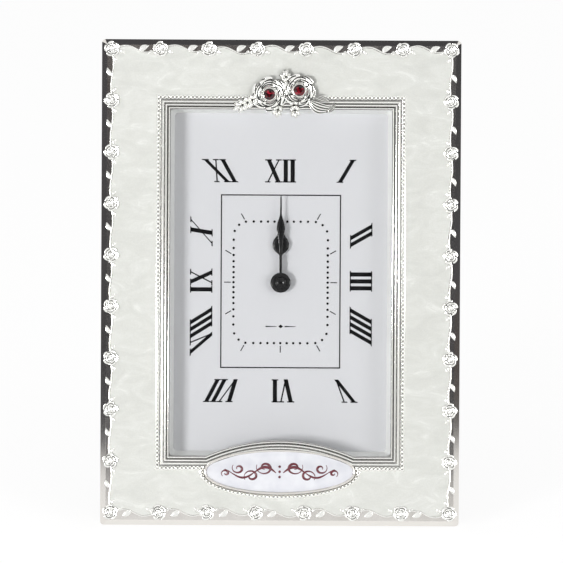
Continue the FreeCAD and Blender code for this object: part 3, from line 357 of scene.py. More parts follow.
def grained_finishes():
    """The finishes that follow one noise."""
    # Silver plate polished to a mirror over a zinc casting, with faint swirls from the buff
    grained("Polished_Silver_Plate", "#E9E6E1", 0.07, 1.0, 12, 4.0, ((0.3, "#EAE7E3"), (0.75, "#E2DED8")),
            (0.06, 0.09), (0.003, 0.4), (0.6, 3, 3))
    # White printed oval under a clear resin dome: cool white with the faintest mottling, glossy
    grained("Plaque_Enamel", "#E4E5EB", 0.18, 0.0, 6, 3.0, ((0.35, "#DFE0E7"), (0.65, "#EAEBF0")), None,
            (0.02, 0.2), Coat_Weight=0.8, Coat_Roughness=0.04)
    # Coated dial card: cool white, smooth and matt, with a paper tooth too fine to see from a step away
    grained("Dial_Card", "#D6D7DA", 0.55, 0.0, 0.25, 3.0, ((0.35, "#D3D4D7"), (0.65, "#DADBDE")), None,
            (0.006, 0.4))
    # Black screen-print ink: matt and a touch uneven
    grained("Black_Print", "#060607", 0.6, 0.0, 0.4, 2.0, ((0.3, "#040405"), (0.75, "#0B0B0D")), None, None,
            Specular_IOR_Level=0.12)
    # Stamped aluminium hands in gloss black lacquer, with a soft orange-peel
    grained("Black_Lacquered_Hands", "#050506", 0.24, 0.0, 0.6, 2.0, ((0.3, "#040405"), (0.75, "#0A0A0C")),
            None, (0.008, 0.4), Specular_IOR_Level=0.25, Coat_Weight=0.15, Coat_Roughness=0.08)
    # Nickel-plated spring steel, tumbled: satin, faintly yellow, with fine straight draw lines
    grained("Nickel_Plated_Steel", "#C9C4BA", 0.3, 1.0, 3, 3.0, ((0.3, "#C2BDB3"), (0.7, "#CDC9C0")),
            (0.26, 0.34), (0.004, 0.4), (8, 0.12, 0.12))
    # Soft iron laminations: grey, punched and slightly oily
    grained("Punched_Iron", "#8C8D90", 0.42, 1.0, 1.5, 4.0, ((0.35, "#77787B"), (0.65, "#9B9CA0")), None,
            (0.01, 0.4))
    # Turned brass: warm and bright with lathe rings a tenth of a millimetre apart
    grained("Turned_Brass", "#C9A05A", 0.26, 1.0, (2, 0.1, 2), 2.0, ((0.3, "#B58B45"), (0.7, "#D9B673")),
            None, (0.006, 0.5))
    # Injection-moulded plastics, named for their places, with the mould's fine spark-eroded grain
    for name, dark, light, roughness, grain, depth in (
            ("White_Spacer_Plastic", "#EEEFED", "#F4F5F3", 0.45, 0.5, 0.01),
            ("Black_Movement_Plastic", "#141416", "#1E1E21", 0.5, 0.4, 0.02),
            ("White_Acetal_Wheels", "#DAD8CF", "#E8E6DE", 0.35, 0.3, 0.006),
            ("Grey_Knob_Plastic", "#C4C3BD", "#D2D1CC", 0.42, 0.4, 0.01)):
        grained(name, dark, roughness, 0.0, grain, 3.0, ((0.3, dark), (0.7, light)),
                (roughness - 0.08, roughness + 0.1), (depth, 0.6))


def satin_plating_with_painted_shade():
    """The casting's own plate: polished where it faces forward and satin on its sides and back, with its colour
    darkened on the sides and back as painted shade.
    """
    material, shader = finish_named("Satin_Silver_Plate", "#B4B1AB", 0.3, 1.0)
    facing = axis_of(material, add(material, "ShaderNodeNewGeometry").outputs["Normal"], "Y")
    front = spread(material, facing, 0, 1, -0.12, -0.35)
    lines = noise(material, (0.15, 0.15, 12), 2.0)
    satin = spread(material, lines, 0.2, 0.45, 0, 1)
    rough = add(material, "ShaderNodeMix", {"B": 0.08}, {"Factor": front, "A": satin}, data_type="FLOAT")
    wire(material, rough.outputs["Result"], shader, "Roughness")
    # Painted shade: the colour goes from bright on the forward faces to darker on the sides and back
    wire(material, ramp(material, front, ((0.0, "#B4B1AB"), (1.0, "#E7E4DF"))), shader, "Base Color")


def cast_plating():
    """Silver plate on fine cast relief: bright and slightly frosted on the high parts, with painted shade in the
    creases, as much as the mesh gives in its map "along", and more painted shade where little of the sky is
    seen."""
    material, shader = finish_named("Cast_Silver_Plate", "#F1F0EE", 0.2, 1.0)
    wire(material, spread(material, noise(material, 0.5), 0.14, 0.26), shader, "Roughness")
    # Painted shade: ambient occlusion darkens the colour where little of the sky is seen
    hollow = add(material, "ShaderNodeAmbientOcclusion", {"Distance": 0.8 * MM}, samples=8)
    shade = ramp(material, hollow.outputs["AO"], ((0.16, "#43423F"), (0.38, "#C8C7C5"), (0.54, "#F8F8F6")))
    # Painted shade from the map "along": dark in the creases, in the grooves and under the castings
    depth = axis_of(material, add(material, "ShaderNodeUVMap", uv_map="along").outputs["UV"], "X")
    line = ramp(material, depth, ((0.12, "#F8F8F6"), (0.5, "#94938F"), (0.9, "#161514")))
    wire(material, multiplied(material, shade, line, 1.0), shader, "Base Color")


def pearl_enamel():
    """Epoxy enamel with mica: off-white and glossy, with slanted silky streaks a few percent apart."""
    material, shader = finish_named("Pearl_Enamel", "#EDEDE6", 0.2, Coat_Weight=0.6, Coat_Roughness=0.06,
                                    Specular_IOR_Level=0.5)
    silk = noise(material, (15, 15, 6.5), 5.0, 0.62, 1.4, (0.0, math.radians(35), 0.0))
    tone = ramp(material, silk, ((0.3, "#DEDFDA"), (0.5, "#E4E5E0"), (0.7, "#ECEDE9")))
    fleck = ramp(material, noise(material, 0.35, 1.0), ((0.4, "#F2F2F0"), (0.7, "#FFFFFF")))
    wire(material, multiplied(material, tone, fleck, 0.6), shader, "Base Color")
    wire(material, spread(material, silk, 0.14, 0.3), shader, "Roughness")
    bump(material, silk, shader, 0.02, 0.25)


def burgundy_ink():
    """Burgundy ink under the resin, a little uneven where the screen left less of it."""
    material, shader = finish_named("Burgundy_Ink", "#7A1F33", 0.3, Coat_Weight=0.5)
    uneven = add(material, "ShaderNodeHueSaturation",
                 {"Color": (*bpy.context.scene.clock_studio.script_colour, 1)},
                 {"Value": spread(material, noise(material, 0.9, 2.0), 0.55, 0.85, 0.35, 0.7)})
    wire(material, uneven.outputs["Color"], shader, "Base Color")


def red_crystal():
    """Foil-backed garnet glass: deep red and sharply faceted, with bright and near black facets painted into its
    colour as glints and shade.
    """
    material, shader = finish_named("Garnet_Crystal", "#6A0615", 0.05, IOR=1.54, Coat_Weight=0.2,
                                    Coat_Roughness=0.02)
    cells = add(material, "ShaderNodeTexVoronoi", {"Scale": 1.0}, {"Vector": object_place(material, 0.9)})
    split = add(material, "ShaderNodeSeparateColor", links={"Color": cells.outputs["Color"]}).outputs["Red"]
    # Painted glints and shade: cells from near black to bright red
    facets = ramp(material, split, ((0.1, "#120003"), (0.5, "#38020A"), (0.85, "#6A0716"), (0.98, "#A01E30")))
    wire(material, facets, shader, "Base Color")


def clear_glass():
    """Float glass: clear, mirroring 0.02 + 0.97*(1 - cos a)^5 of the light at an angle a on both sides."""
    material = bpy.data.materials.new("Clear_Float_Glass")
    material.use_nodes = True
    material.node_tree.nodes.clear()
    see = add(material, "ShaderNodeBsdfTransparent", {"Color": rgb("#FFFFFF")})
    shine = add(material, "ShaderNodeBsdfGlossy", {"Color": rgb("#FFFFFF"), "Roughness": 0.02})
    slant = add(material, "ShaderNodeLayerWeight", {"Blend": 0.5})
    steep = math_node(material, "POWER", slant.outputs["Facing"], 5.0)
    weight = add(material, "ShaderNodeMath", {1: 0.97, 2: 0.02}, {0: steep}, operation="MULTIPLY_ADD")
    mixed = add(material, "ShaderNodeMixShader",
                links={0: weight.outputs["Value"], 1: see.outputs["BSDF"], 2: shine.outputs["BSDF"]})
    out = add(material, "ShaderNodeOutputMaterial", links={"Surface": mixed.outputs["Shader"]})
    out.is_active_output = True
    material.diffuse_color = (0.9, 0.95, 0.95, 0.2)


def black_flock():
    """Black flocked board: short nap that drinks the light, grey at a slant, with lighter scuffs."""
    material, shader = finish_named("Black_Flocked_Board", "#101012", 0.95, Sheen_Weight=0.5,
                                    Sheen_Roughness=0.4, Specular_IOR_Level=0.1, Sheen_Tint=rgb("#6E6E74"))
    nap = noise(material, 0.35, 4.0, 0.7)
    tone = ramp(material, nap, ((0.3, "#0B0B0C"), (0.72, "#26262A")))
    wear = ramp(material, noise(material, (30, 30, 9), 4.0), ((0.4, "#FFFFFF"), (0.75, "#B4B4B8")))
    wire(material, multiplied(material, tone, wear, 0.6), shader, "Base Color")
    bump(material, nap, shader, 0.12, 0.8)


def grey_foam():
    """Grey polyethylene foam: matt, with cells a third of a millimetre across."""
    material, shader = finish_named("Grey_Foam_Pad", "#3C3D40", 0.9)
    cells = add(material, "ShaderNodeTexVoronoi", {"Scale": 1.0},
                {"Vector": object_place(material, 0.35)}).outputs["Distance"]
    wire(material, ramp(material, cells, ((0.1, "#2C2D30"), (0.6, "#4B4C50"))), shader, "Base Color")
    bump(material, cells, shader, 0.05, 0.6)


def circuit_laminate():
    """Green circuit laminate under solder mask, with a woven glass pattern just showing through."""
    material, shader = finish_named("Circuit_Laminate", "#1E5E33", 0.35, Coat_Weight=0.4)
    weave = add(material, "ShaderNodeTexChecker",
                {"Color1": rgb("#1A5A30"), "Color2": rgb("#2A6E3F"), "Scale": 1.0},
                {"Vector": object_place(material, 0.4)})
    wire(material, weave.outputs["Color"], shader, "Base Color")


def wound_copper():
    """Enamelled copper wire, layer-wound: fine rings round the bobbin, with the light they catch painted into the
    colour as bright and dark lines.
    """
    material, shader = finish_named("Wound_Copper_Wire", "#B4622B", 0.3, 0.9)
    rings = add(material, "ShaderNodeTexWave", {"Scale": 1.0, "Distortion": 0.3},
                {"Vector": object_place(material, (1000, 1000, 1.2))}, bands_direction="Z").outputs["Fac"]
    # Painted highlight and shade along the rings
    wire(material, ramp(material, rings, ((0.1, "#7A3A14"), (0.7, "#C87537"))), shader, "Base Color")
    bump(material, rings, shader, 0.05, 0.6)


def cell_jacket():
    """Jacket of a zinc-carbon cell: dark graphite grey with a copper-coloured end, glossy, no print."""
    material, shader = finish_named("Cell_Jacket", "#3E4247", 0.3, 0.35, Coat_Weight=0.6, Coat_Roughness=0.1)
    x = axis_of(material, add(material, "ShaderNodeTexCoord").outputs["Object"], "X")
    stops = ((0.0, "#C9C4BA"), (0.02, "#3E4247"), (0.66, "#B7793F"), (0.97, "#D8D4CC"))
    bands = ramp(material, spread(material, x, 0, 1, -25 * MM, 25 * MM), stops, linear=False)
    wire(material, bands, shader, "Base Color")
    bump(material, noise(material, 2), shader, 0.01, 0.3)


def plainly_seen(material):
    """1 for rays from the camera, in a mirror or through glass, and with it 1 for rays in a mirror alone."""
    path = add(material, "ShaderNodeLightPath").outputs
    seen = math_node(material, "MAXIMUM", path["Is Camera Ray"], path["Is Glossy Ray"])
    return math_node(material, "MAXIMUM", seen, path["Is Transmission Ray"]), path["Is Glossy Ray"]


def studio_floor():
    """White card: plain to the camera, dimmer to mirrors behind the clock, grey only under its shadow."""
    material, shader = finish_named("Studio_White_Card", "#F4F4F4", 0.9, Specular_IOR_Level=0.0)
    wire(material, ramp(material, noise(material, 4), ((0.3, "#F3F3F3"), (0.7, "#F7F7F7"))), shader,
         "Base Color")
    seen, glossy = plainly_seen(material)
    behind = axis_of(material, add(material, "ShaderNodeTexCoord").outputs["Object"], "Y")
    loss = math_node(material, "MULTIPLY", spread(material, behind, 0, 0.6, 0.05, 0.7), glossy)
    power = math_node(material, "SUBTRACT", 1.22, loss)
    white = add(material, "ShaderNodeEmission", {"Color": rgb("#FFFFFF")}, {"Strength": power})
    mixed = add(material, "ShaderNodeMixShader", links={
        0: math_node(material, "MULTIPLY", seen, 0.7), 1: shader.outputs["BSDF"],
        2: white.outputs["Emission"]})
    wire(material, mixed.outputs["Shader"], material.node_tree.nodes["Material Output"], "Surface")
    return material


def black_flag():
    """Black studio cloth that keeps the room out of the mirrors. It glows a dim, cloudy grey-brown: painted light
    standing for the room's light on the cloth.
    """
    material, shader = finish_named("Black_Flag_Cloth", "#000000", 1.0, Specular_IOR_Level=0.0,
                                    Emission_Strength=1.0)
    cloud = noise(material, (500, 500, 220), 4.0)
    # Painted light: the cloth's dim glow
    tones = ((0.3, "#434345"), (0.58, "#515053"), (0.78, "#5F5650"))
    wire(material, ramp(material, cloud, tones), shader, "Emission Color")
    return material


# Shapes

def mitred(loop, offset):
    """A closed clockwise loop moved outward by offset: each point goes offset * (n1 + n2) / (1 + n1.n2), n1
    and n2 being the outward normals of the runs before and after it."""
    normal = directions(np.roll(loop, -1, axis=0) - loop)[1]
    before = np.roll(normal, 1, axis=0)
    return loop + offset * (normal + before) / (1 + (normal * before).sum(axis=1))[:, None]


def swept(loop, profile):
    """A profile of (offset outward, height) points carried round a closed loop with mitred corners."""
    return carried(lambda offset: mitred(loop, offset), profile)


def reed(centre, half, low, high, count=9):
    """Half-round reed, closed below: centre + half*cos(a) outward, low + (high - low)*sin(a) up."""
    turn = np.linspace(math.pi, 0, count)
    top = np.stack((centre + half * np.cos(turn), low + (high - low) * np.sin(turn)), axis=1)
    return np.concatenate((top, [(centre + half, low - 0.3), (centre - half, low - 0.3)]))


def spun(u, v, profile, count=48):
    """(radius, height) points turned about an axis out of the dial at (u, v); radius 0 makes a pole."""
    profile = np.asarray(profile, float)
    turn = round_turn(count)
    body = profile[profile[:, 0] > 0]
    r, h = body[:, :1], body[:, 1:]
    points = leaned(u + r * np.cos(turn), v + r * np.sin(turn), h).reshape(-1, 3)
    faces, poles = [grid_faces(len(body), count, False, True)], []
    for end, ring, flip in ((profile[0], 0, True), (profile[-1], len(body) - 1, False)):
        if end[0] == 0:
            poles.append(leaned(u, v, end[1])[None])
            faces.append(fan_faces(np.arange(count) + ring * count, len(points) + len(poles) - 1, flip))
    return np.concatenate([points] + poles), faces


def border_points(across, down):
    """Centres of the roses on the border, clockwise from the top left, evenly spaced on the rectangle that
    the CAD roses stand on."""
    low, high = leaned_box("border_roses")
    reach = high[0] - ROSE_LINE
    left, right = low[0] + reach, high[0] - reach
    bottom, top = low[1] + reach, high[1] - reach
    u, v = np.linspace(left, right, across), np.linspace(top, bottom, down)
    rows = [np.stack((u, np.full(across, top)), 1), np.stack((np.full(down - 1, right), v[1:]), 1),
            np.stack((u[-2::-1], np.full(across - 1, bottom)), 1),
            np.stack((np.full(down - 2, left), v[-2:0:-1]), 1)]
    return np.concatenate(rows)


# How far the line of roses stands from the middle of the face
ROSE_LINE = (leaned_box("border_vine")[1][0] - leaned_box("border_vine")[0][0]) / 2 - 0.3


def vine_line(points, wave, steps):
    """The wavy line through the roses: between neighbours it leaves the straight run by wave*(1.5*sin(2*pi*s)
    + 0.5*sin(pi*s) times a swing that changes from gap to gap), outward first and inward after, and up the
    sides by a third of that."""
    ends = np.roll(points, -1, axis=0)
    s = np.arange(steps) / steps
    run = ends - points
    side = directions(run)[1]
    swing = 0.4 * np.sin(np.arange(len(points)) * 2.4)[:, None]
    calm = np.where(np.abs(run[:, 0]) > np.abs(run[:, 1]), 1.0, 0.35)[:, None]
    hump = np.sin(2 * math.pi * s) * (1 - 0.25 * np.cos(2 * math.pi * s))
    hump = hump[None] + swing * np.sin(math.pi * s)[None]
    out = points[:, None] + run[:, None] * s[None, :, None] + side[:, None] * (wave * calm * hump)[..., None]
    return out.reshape(-1, 2)


def tube_round(loop, radius, height, count=8):
    """A round wire on a closed loop in the face's plane: offset radius*cos(a), height + radius*sin(a)."""
    turn = round_turn(count)[:, None]
    out = directions(np.roll(loop, -1, axis=0) - np.roll(loop, 1, axis=0))[1]
    u, v = (loop[:, k] + radius * np.cos(turn) * out[:, k] for k in (0, 1))
    points = leaned(u, v, height + radius * np.sin(turn)).reshape(-1, 3)
    return points, [grid_faces(count, len(loop), True, True)]


def rose_relief(u, v, diameter, rise, seat, turn, rings, rows, cols, groove=0.09):
    """Cast roses as height fields on polar grids. The petals of a ring follow each other like the turns of a
    screw: with q from 0 to 1 across a petal, its rim stands at reach*(1 - 0.2*q + 0.1*sin(pi*q)), so that
    each one dips under the next. Inside the rim, t being the radius over the rim, the height is top*(0.72 +
    0.28*t^3) with a slope of 0.2*top*(0.5 - q) across. Outside the rim and along the petal's side runs a
    groove, painted dark with shade. Each ring stands over the one before. u, v, diameter and turn are
    arrays, one entry for each rose."""
    given = np.broadcast_arrays(*np.atleast_1d(u, v, diameter, turn))
    u, v, diameter, turn = (np.asarray(a, float)[:, None, None] for a in given)
    rho = np.linspace(0, 1, rows + 1)[1:][None, :, None]
    angle = round_turn(cols)[None, None, :]
    full = np.broadcast_shapes(u.shape, rho.shape, angle.shape)
    height, crease_shade = np.zeros(full), np.zeros(full)
    for k, (petals, reach, top, phase) in enumerate(rings):
        q = np.mod((angle - turn) * petals / (2 * math.pi) + phase + 0.35 * rho * (k > 0), 1.0)
        rim = reach * (1 - 0.2 * q + 0.1 * np.sin(math.pi * q))
        if k == 0:
            rim = outline = rim * (1 - 0.175 * np.exp(-np.minimum(q, 1 - q) / 0.035))
        t = rho * outline / rim
        petal = top * (0.72 + 0.28 * np.clip(t, 0, 1) ** 3 + 0.2 * (0.5 - q) * np.clip(t, 0, 1))
        # The grooves beside each petal and outside its rim are sunk and painted with shade
        beside = np.exp(-((1 - q) / 0.045) ** 2) * np.clip((t - 0.3) / 0.2, 0, 1)
        petal, dark = petal - 0.3 * top * beside, 0.9 * beside
        under = np.exp(-((t - 1 - groove * 0.6) / (groove * 0.55)) ** 2) * (t > 1) * (k > 0)
        height = np.where(t <= 1, petal, height * (1 - 0.35 * under))
        crease_shade = np.where(t <= 1, dark, np.maximum(crease_shade, under))
    height = np.maximum(height, 0.04)
    radius = diameter / 2 * rho * outline
    pu, pv, ph = u + radius * np.cos(angle), v + radius * np.sin(angle), seat + rise * height
    pu, pv = (np.concatenate((a, a[:, -1:]), axis=1) for a in (pu, pv))
    ph = np.concatenate((ph, np.full_like(ph[:, -1:], seat - 0.15)), axis=1)
    crease_shade = np.concatenate((crease_shade, np.ones_like(crease_shade[:, -1:])), axis=1)
    many = pu.shape[0]
    grid = np.concatenate((leaned(pu, pv, ph), crease_shade[..., None]), axis=3).reshape(many, -1, 4)
    poles = np.stack([leaned(u[:, 0, 0], v[:, 0, 0], level)
                      for level in (seat + rise * 0.72 * rings[-1][2], seat - 0.15)], axis=1)
    return copies(grid[0], ring_faces(rows + 1, cols),
                  np.concatenate((grid, np.pad(poles, ((0, 0), (0, 0), (0, 1)))), axis=1))


def leaf_relief(base, tip, width, rise, seat, bend=0.0, rows=14, cols=9, widest=0.42, hollow=0.0,
                stripes=0.0):
    """Cast leaves, one for each entry: the half width is width/2 * sin(pi*s^k)^0.8 along s from base to tip,
    k placing the widest part; the height is a low dome over the width with a raised midrib; the underside is
    flat. bend bows the leaf sideways by a share of its length. hollow sinks both halves between the midrib
    and the edge, or the lines along the leaf where stripes gives their number over the half width, and what
    is sunk, with the underside, is painted with shade."""
    base, tip = np.atleast_2d(base).astype(float), np.atleast_2d(tip).astype(float)
    width, rise, bend = (np.broadcast_to(np.asarray(a, float), (len(base),))[:, None, None]
                         for a in (width, rise, bend))
    s = np.linspace(0.0, 1.0, rows)[None, :, None]
    t = np.linspace(-1, 1, cols)[None, None, :]
    power = math.log(0.5) / math.log(widest)
    half = width / 2 * np.clip(np.sin(math.pi * s ** power), 0.015, 1) ** 0.8
    run = tip - base
    length = np.linalg.norm(run, axis=1)[:, None, None]
    ahead, side = directions(run[:, None, None, :])
    across = half * t + bend * length * 4 * s * (1 - s)
    top = base[:, None, None, :] + ahead * (length * s)[..., None] + side * across[..., None]
    if stripes:
        sunk = hollow * np.abs(np.sin(math.pi * stripes * t)) ** 6 * np.sin(math.pi * s) ** 0.5
    else:
        sunk = hollow * (1 - (2 * np.abs(t) - 1) ** 4) * np.clip(np.sin(math.pi * s) * 1.4, 0, 1)
    dome = (0.5 + 0.3 * (1 - t ** 2)) * np.sin(math.pi * np.clip(s, 0.04, 0.97)) ** 0.35
    h = seat + rise * (dome - 0.35 * sunk + 0.25 * np.exp(-(t / 0.16) ** 2))
    crease_shade = np.broadcast_to(sunk, h.shape)
    under = [cols - 1, cols // 2, 0]
    u = np.concatenate((top[..., 0], top[..., 0][:, :, under]), axis=2)
    v = np.concatenate((top[..., 1], top[..., 1][:, :, under]), axis=2)
    h = np.concatenate((h, np.broadcast_to(seat - 0.1, h[:, :, :3].shape)), axis=2)
    crease_shade = np.concatenate((crease_shade, np.ones_like(h[:, :, :3])), axis=2)
    ring = cols + 3
    grid = np.concatenate((leaned(u, v, h), crease_shade[..., None]), axis=3).reshape(len(base), -1, 4)
    ends = np.stack((grid[:, :ring].mean(axis=1), grid[:, -ring:].mean(axis=1)), axis=1)
    return copies(grid[0], ring_faces(rows, ring), np.concatenate((grid, ends), axis=1))


def frond(base, tip, leaflets, length, width):
    """The leaflets of a cast frond, as (base u, base v, tip u, tip v, width) rows: pairs slanting 42 degrees
    off the stem and growing shorter toward the tip, and one leaflet at the end."""
    base, tip = np.array(base, float), np.array(tip, float)
    run = tip - base
    ahead, across = directions(run)
    rows = [np.concatenate((tip - ahead * length * 0.9, tip, (width,)))]
    for k in range(leaflets):
        foot = base + run * (k + 0.15) / leaflets * 0.8
        size = length * (1 - 0.3 * abs(k - 0.4 * leaflets) / leaflets)
        for hand in (1, -1):
            rows.append(np.concatenate((foot, foot + (ahead * 0.74 + across * 0.67 * hand) * size, (width,))))
    return np.array(rows)


def ribbon(path, width, level, thick=0.03):
    """A flat stroke of ink or paint along an open path: each point's half width is taken to both sides of the
    path, level is its height, and the stroke is closed with a wall of the given thickness."""
    path = np.asarray(path, float)
    side = directions(np.gradient(path, axis=0))[1] * (np.broadcast_to(width, len(path)) / 2)[:, None]
    left, right = path + side, path - side
    level = np.broadcast_to(level, len(path))
    edges = ((left, 0), (right, 0), (right, -thick), (left, -thick))
    ring = [np.column_stack((edge, level + drop)) for edge, drop in edges]
    points = np.stack(ring, axis=1)
    n = len(path)
    own = leaned(points[..., 0], points[..., 1], points[..., 2]).reshape(-1, 3)
    end = np.array([[0, 1, 2, 3]])
    return own, [grid_faces(n, 4, False, True), end, end + 4 * (n - 1)]


def quads_on(corners, level, thick=0.03):
    """Flat patches of ink from their four corners each, an array of (patch, 4, 2), closed with thin walls."""
    corners = np.asarray(corners, float)
    top = np.concatenate((corners, np.full(corners.shape[:2] + (1,), level)), axis=2)
    low = top - np.array((0, 0, thick))
    points = np.concatenate((top, low), axis=1)
    own = leaned(points[..., 0], points[..., 1], points[..., 2])
    box_faces = np.array([[0, 1, 2, 3], [7, 6, 5, 4], [0, 4, 5, 1], [1, 5, 6, 2], [2, 6, 7, 3], [3, 7, 4, 0]])
    return copies(own[0], [box_faces], own)


# Dial print, in mm from the hands' axis

# Widths of a thick and of a thin stroke, and the height of a serif
STEM, HAIR, SERIF = 1.75, 0.6, 0.5


def letter(kind, left):
    """Strokes of one numeral letter as (4, 2) corners, x in mm from its left and y from 0 at the foot to 1 at
    the head: a thick stem for I, a thick and a thin slope for V and X, and a flat serif on every end."""
    def slope(x_foot, x_head, width):
        return [(left + x_foot, 0), (left + x_foot + width, 0), (left + x_head + width, 1),
                (left + x_head, 1)]

    def serif(x0, x1, foot):
        y0, y1 = (0.0, SERIF / 9.7) if foot else (1 - SERIF / 9.7, 1.0)
        return [(left + x0, y0), (left + x1, y0), (left + x1, y1), (left + x0, y1)]

    if kind == "I":
        return [slope(0.58, 0.58, STEM), serif(0.05, 2.85, True), serif(0.05, 2.85, False)]
    if kind == "V":
        return [slope(2.75, 0.55, STEM), slope(3.35, 5.35, HAIR), serif(0.0, 3.0, False),
                serif(4.3, 6.7, False)]
    return [slope(5.0, 0.7, STEM), slope(0.95, 5.75, HAIR), serif(0.1, 3.0, False), serif(4.7, 7.1, False),
            serif(0.2, 2.4, True), serif(4.3, 7.3, True)]


# Widths of the letters with the space after them
ADVANCE = {"I": 2.9, "V": 6.7, "X": 7.35}
# Numerals: the letters, how far along its ray each stands as a share of the true ray, and a shift along its
# side in mm
NUMERALS = {1: ("I", 1.02, 0), 2: ("II", 0.99, 0), 3: ("III", 1, 0), 4: ("IIII", 0.98, 0),
            5: ("V", 0.99, 0), 6: ("VI", 1, -1), 7: ("VII", 0.9, 0), 8: ("VIII", 1.09, 0),
            9: ("IX", 1, 0), 10: ("X", 1.07, 0), 11: ("XI", 0.97, 0), 12: ("XII", 1, -0.5)}
# How far the ring of numerals is printed off the hands' axis, right and up
PRINT_SHIFT = (0.2, 0.6)


def numeral_patches(half_in, half_out):
    """Corners of every numeral stroke. A numeral stands in the rectangular band between half_in and half_out
    (its half width and half height); across the band each stroke is sheared so that its long direction is the
    ray from the axis."""
    patches = []
    for hour, (word, reach, shift) in NUMERALS.items():
        width = sum(ADVANCE[k] for k in word)
        left, strokes = shift - width / 2, []
        for k in word:
            strokes += letter(k, left)
            left += ADVANCE[k]
        strokes = np.array(strokes, float)
        side = (hour + 1) // 3 % 4
        lean = math.radians(hour * 30 - side * 90)
        low, high = (half_in[1], half_out[1]) if side % 2 == 0 else (half_in[0], half_out[0])
        out = low + strokes[..., 1] * (high - low)
        across = strokes[..., 0] + out * reach * math.tan(math.atan2(math.sin(lean), math.cos(lean)))
        c, s = math.cos(side * math.pi / 2), math.sin(side * math.pi / 2)
        patches.append(np.stack((across * c + out * s, out * c - across * s), axis=-1) + PRINT_SHIFT)
    return np.concatenate(patches)


def on_track(half_w, half_h, radius, angles):
    """Points where rays at the given clockwise angles from 12 cross a rectangle with rounded corners."""
    loop = softened(2 * half_w, 2 * half_h, radius, 1600)
    own = np.arctan2(loop[:, 0], loop[:, 1])
    order = np.argsort(own)
    reach = np.hypot(loop[:, 0], loop[:, 1])
    wrapped = np.mod(angles + math.pi, 2 * math.pi) - math.pi
    far = np.interp(wrapped, own[order], reach[order], period=2 * math.pi)
    return np.stack((far * np.sin(angles), far * np.cos(angles)), axis=1)


def round_dots(centres, radius, level, count=16):
    """Printed dots: a ring of points and its centre for each."""
    rings = centres[:, None] + polar(radius, round_turn(count))
    own = np.concatenate([leaned(at[..., 0], at[..., 1], height) for at in (rings, centres[:, None])
                          for height in (level, level - 0.03)], axis=1)
    ring = np.arange(count)
    faces = [np.stack((ring, np.roll(ring, -1), np.roll(ring, -1) + count, ring + count), axis=1),
             fan_faces(ring, 2 * count), fan_faces(ring + count, 2 * count + 1, True)]
    return copies(own[0], faces, own)


def bars_of(left, bottom, right, top, width):
    """The four bars (left, bottom, right, top) of a rectangle's outline."""
    return [(left, bottom, right, bottom + width), (left, top - width, right, top),
            (left, bottom + width, left + width, top - width),
            (right - width, bottom + width, right, top - width)]


def bars_on(bars, level, thick=0.03):
    """Upright rectangular patches from their (left, bottom, right, top)."""
    return quads_on([[(a, b), (c, b), (c, d), (a, d)] for a, b, c, d in bars], level, thick)


# Hands

def blade(lengths, halves, low, high, crown, count=16, rows=90):
    """A hand as a closed tube along v: half widths are interpolated smoothly over the lengths, the section is
    a squared ellipse |cos|^0.6 wide, and its upper side is crowned."""
    v = np.linspace(lengths[0], lengths[-1], rows)
    dense = np.interp(v, lengths, halves)
    kernel = np.hanning(7) / np.hanning(7).sum()
    smooth = np.convolve(np.pad(dense, 3, mode="edge"), kernel, mode="valid")
    smooth[[0, -1]] = dense[[0, -1]]
    turn = round_turn(count)
    c, s = np.cos(turn), np.sin(turn)
    across = np.sign(c) * np.abs(c) ** 0.6
    upper = np.where(s >= 0, np.abs(s) ** 0.5, 0)
    lower = np.where(s < 0, np.abs(s) ** 0.5, 0)
    mid = (low + high) / 2
    u = smooth[:, None] * across[None]
    rise = high - mid + crown * np.minimum(smooth[:, None], 2.5)
    h = mid + rise * upper[None] - (mid - low) * lower[None]
    points = leaned(u, v[:, None] + 0 * u, h).reshape(-1, 3)
    ends = leaned(0, np.array((v[0], v[-1])), mid)
    return np.concatenate((points, ends)), ring_faces(rows, count)


# Stones

def brilliant(u, v, radius, seat, rise, sides=12):
    """A brilliant-cut stone: table, star, main and girdle facets from five rings of points, each ring turned
    half a side against the last, so the facets between them are kites and triangles."""
    half = math.pi / sides
    rings = ((0.52, 1.0, 0.0), (0.78, 0.66, half), (1.0, 0.28, 0.0), (1.0, 0.12, 0.0), (0.9, -0.1, 0.0))
    turn = np.arange(sides) * 2 * half
    points = [leaned(u + radius * r * np.cos(turn + a), v + radius * r * np.sin(turn + a), seat + rise * h)
              for r, h, a in rings]
    n, k = sides, np.arange(sides)
    k2 = (k + 1) % n
    tris = [np.stack((k, k2, k + n), 1), np.stack((k + n, k2, k2 + n), 1),
            np.stack((k + n, k2 + n, k2 + 2 * n), 1), np.stack((k + n, k2 + 2 * n, k + 2 * n), 1)]
    quads = [np.stack((k + 2 * n, k2 + 2 * n, k2 + 3 * n, k + 3 * n), 1),
             np.stack((k + 3 * n, k2 + 3 * n, k2 + 4 * n, k + 4 * n), 1)]
    caps = [leaned(u, v, seat + rise)[None], leaned(u, v, seat - 0.1 * rise)[None]]
    tris += [fan_faces(k, 5 * n, True), fan_faces(k + 4 * n, 5 * n + 1)]
    return np.concatenate(points + caps), tris + quads


# Settings that a user would change

def length(name, about, default, low, high):
    """A length property: default and limits in mm."""
    return FloatProperty(name=name, description=about, default=default * MM, min=low * MM, max=high * MM,
                         unit="LENGTH", precision=5)


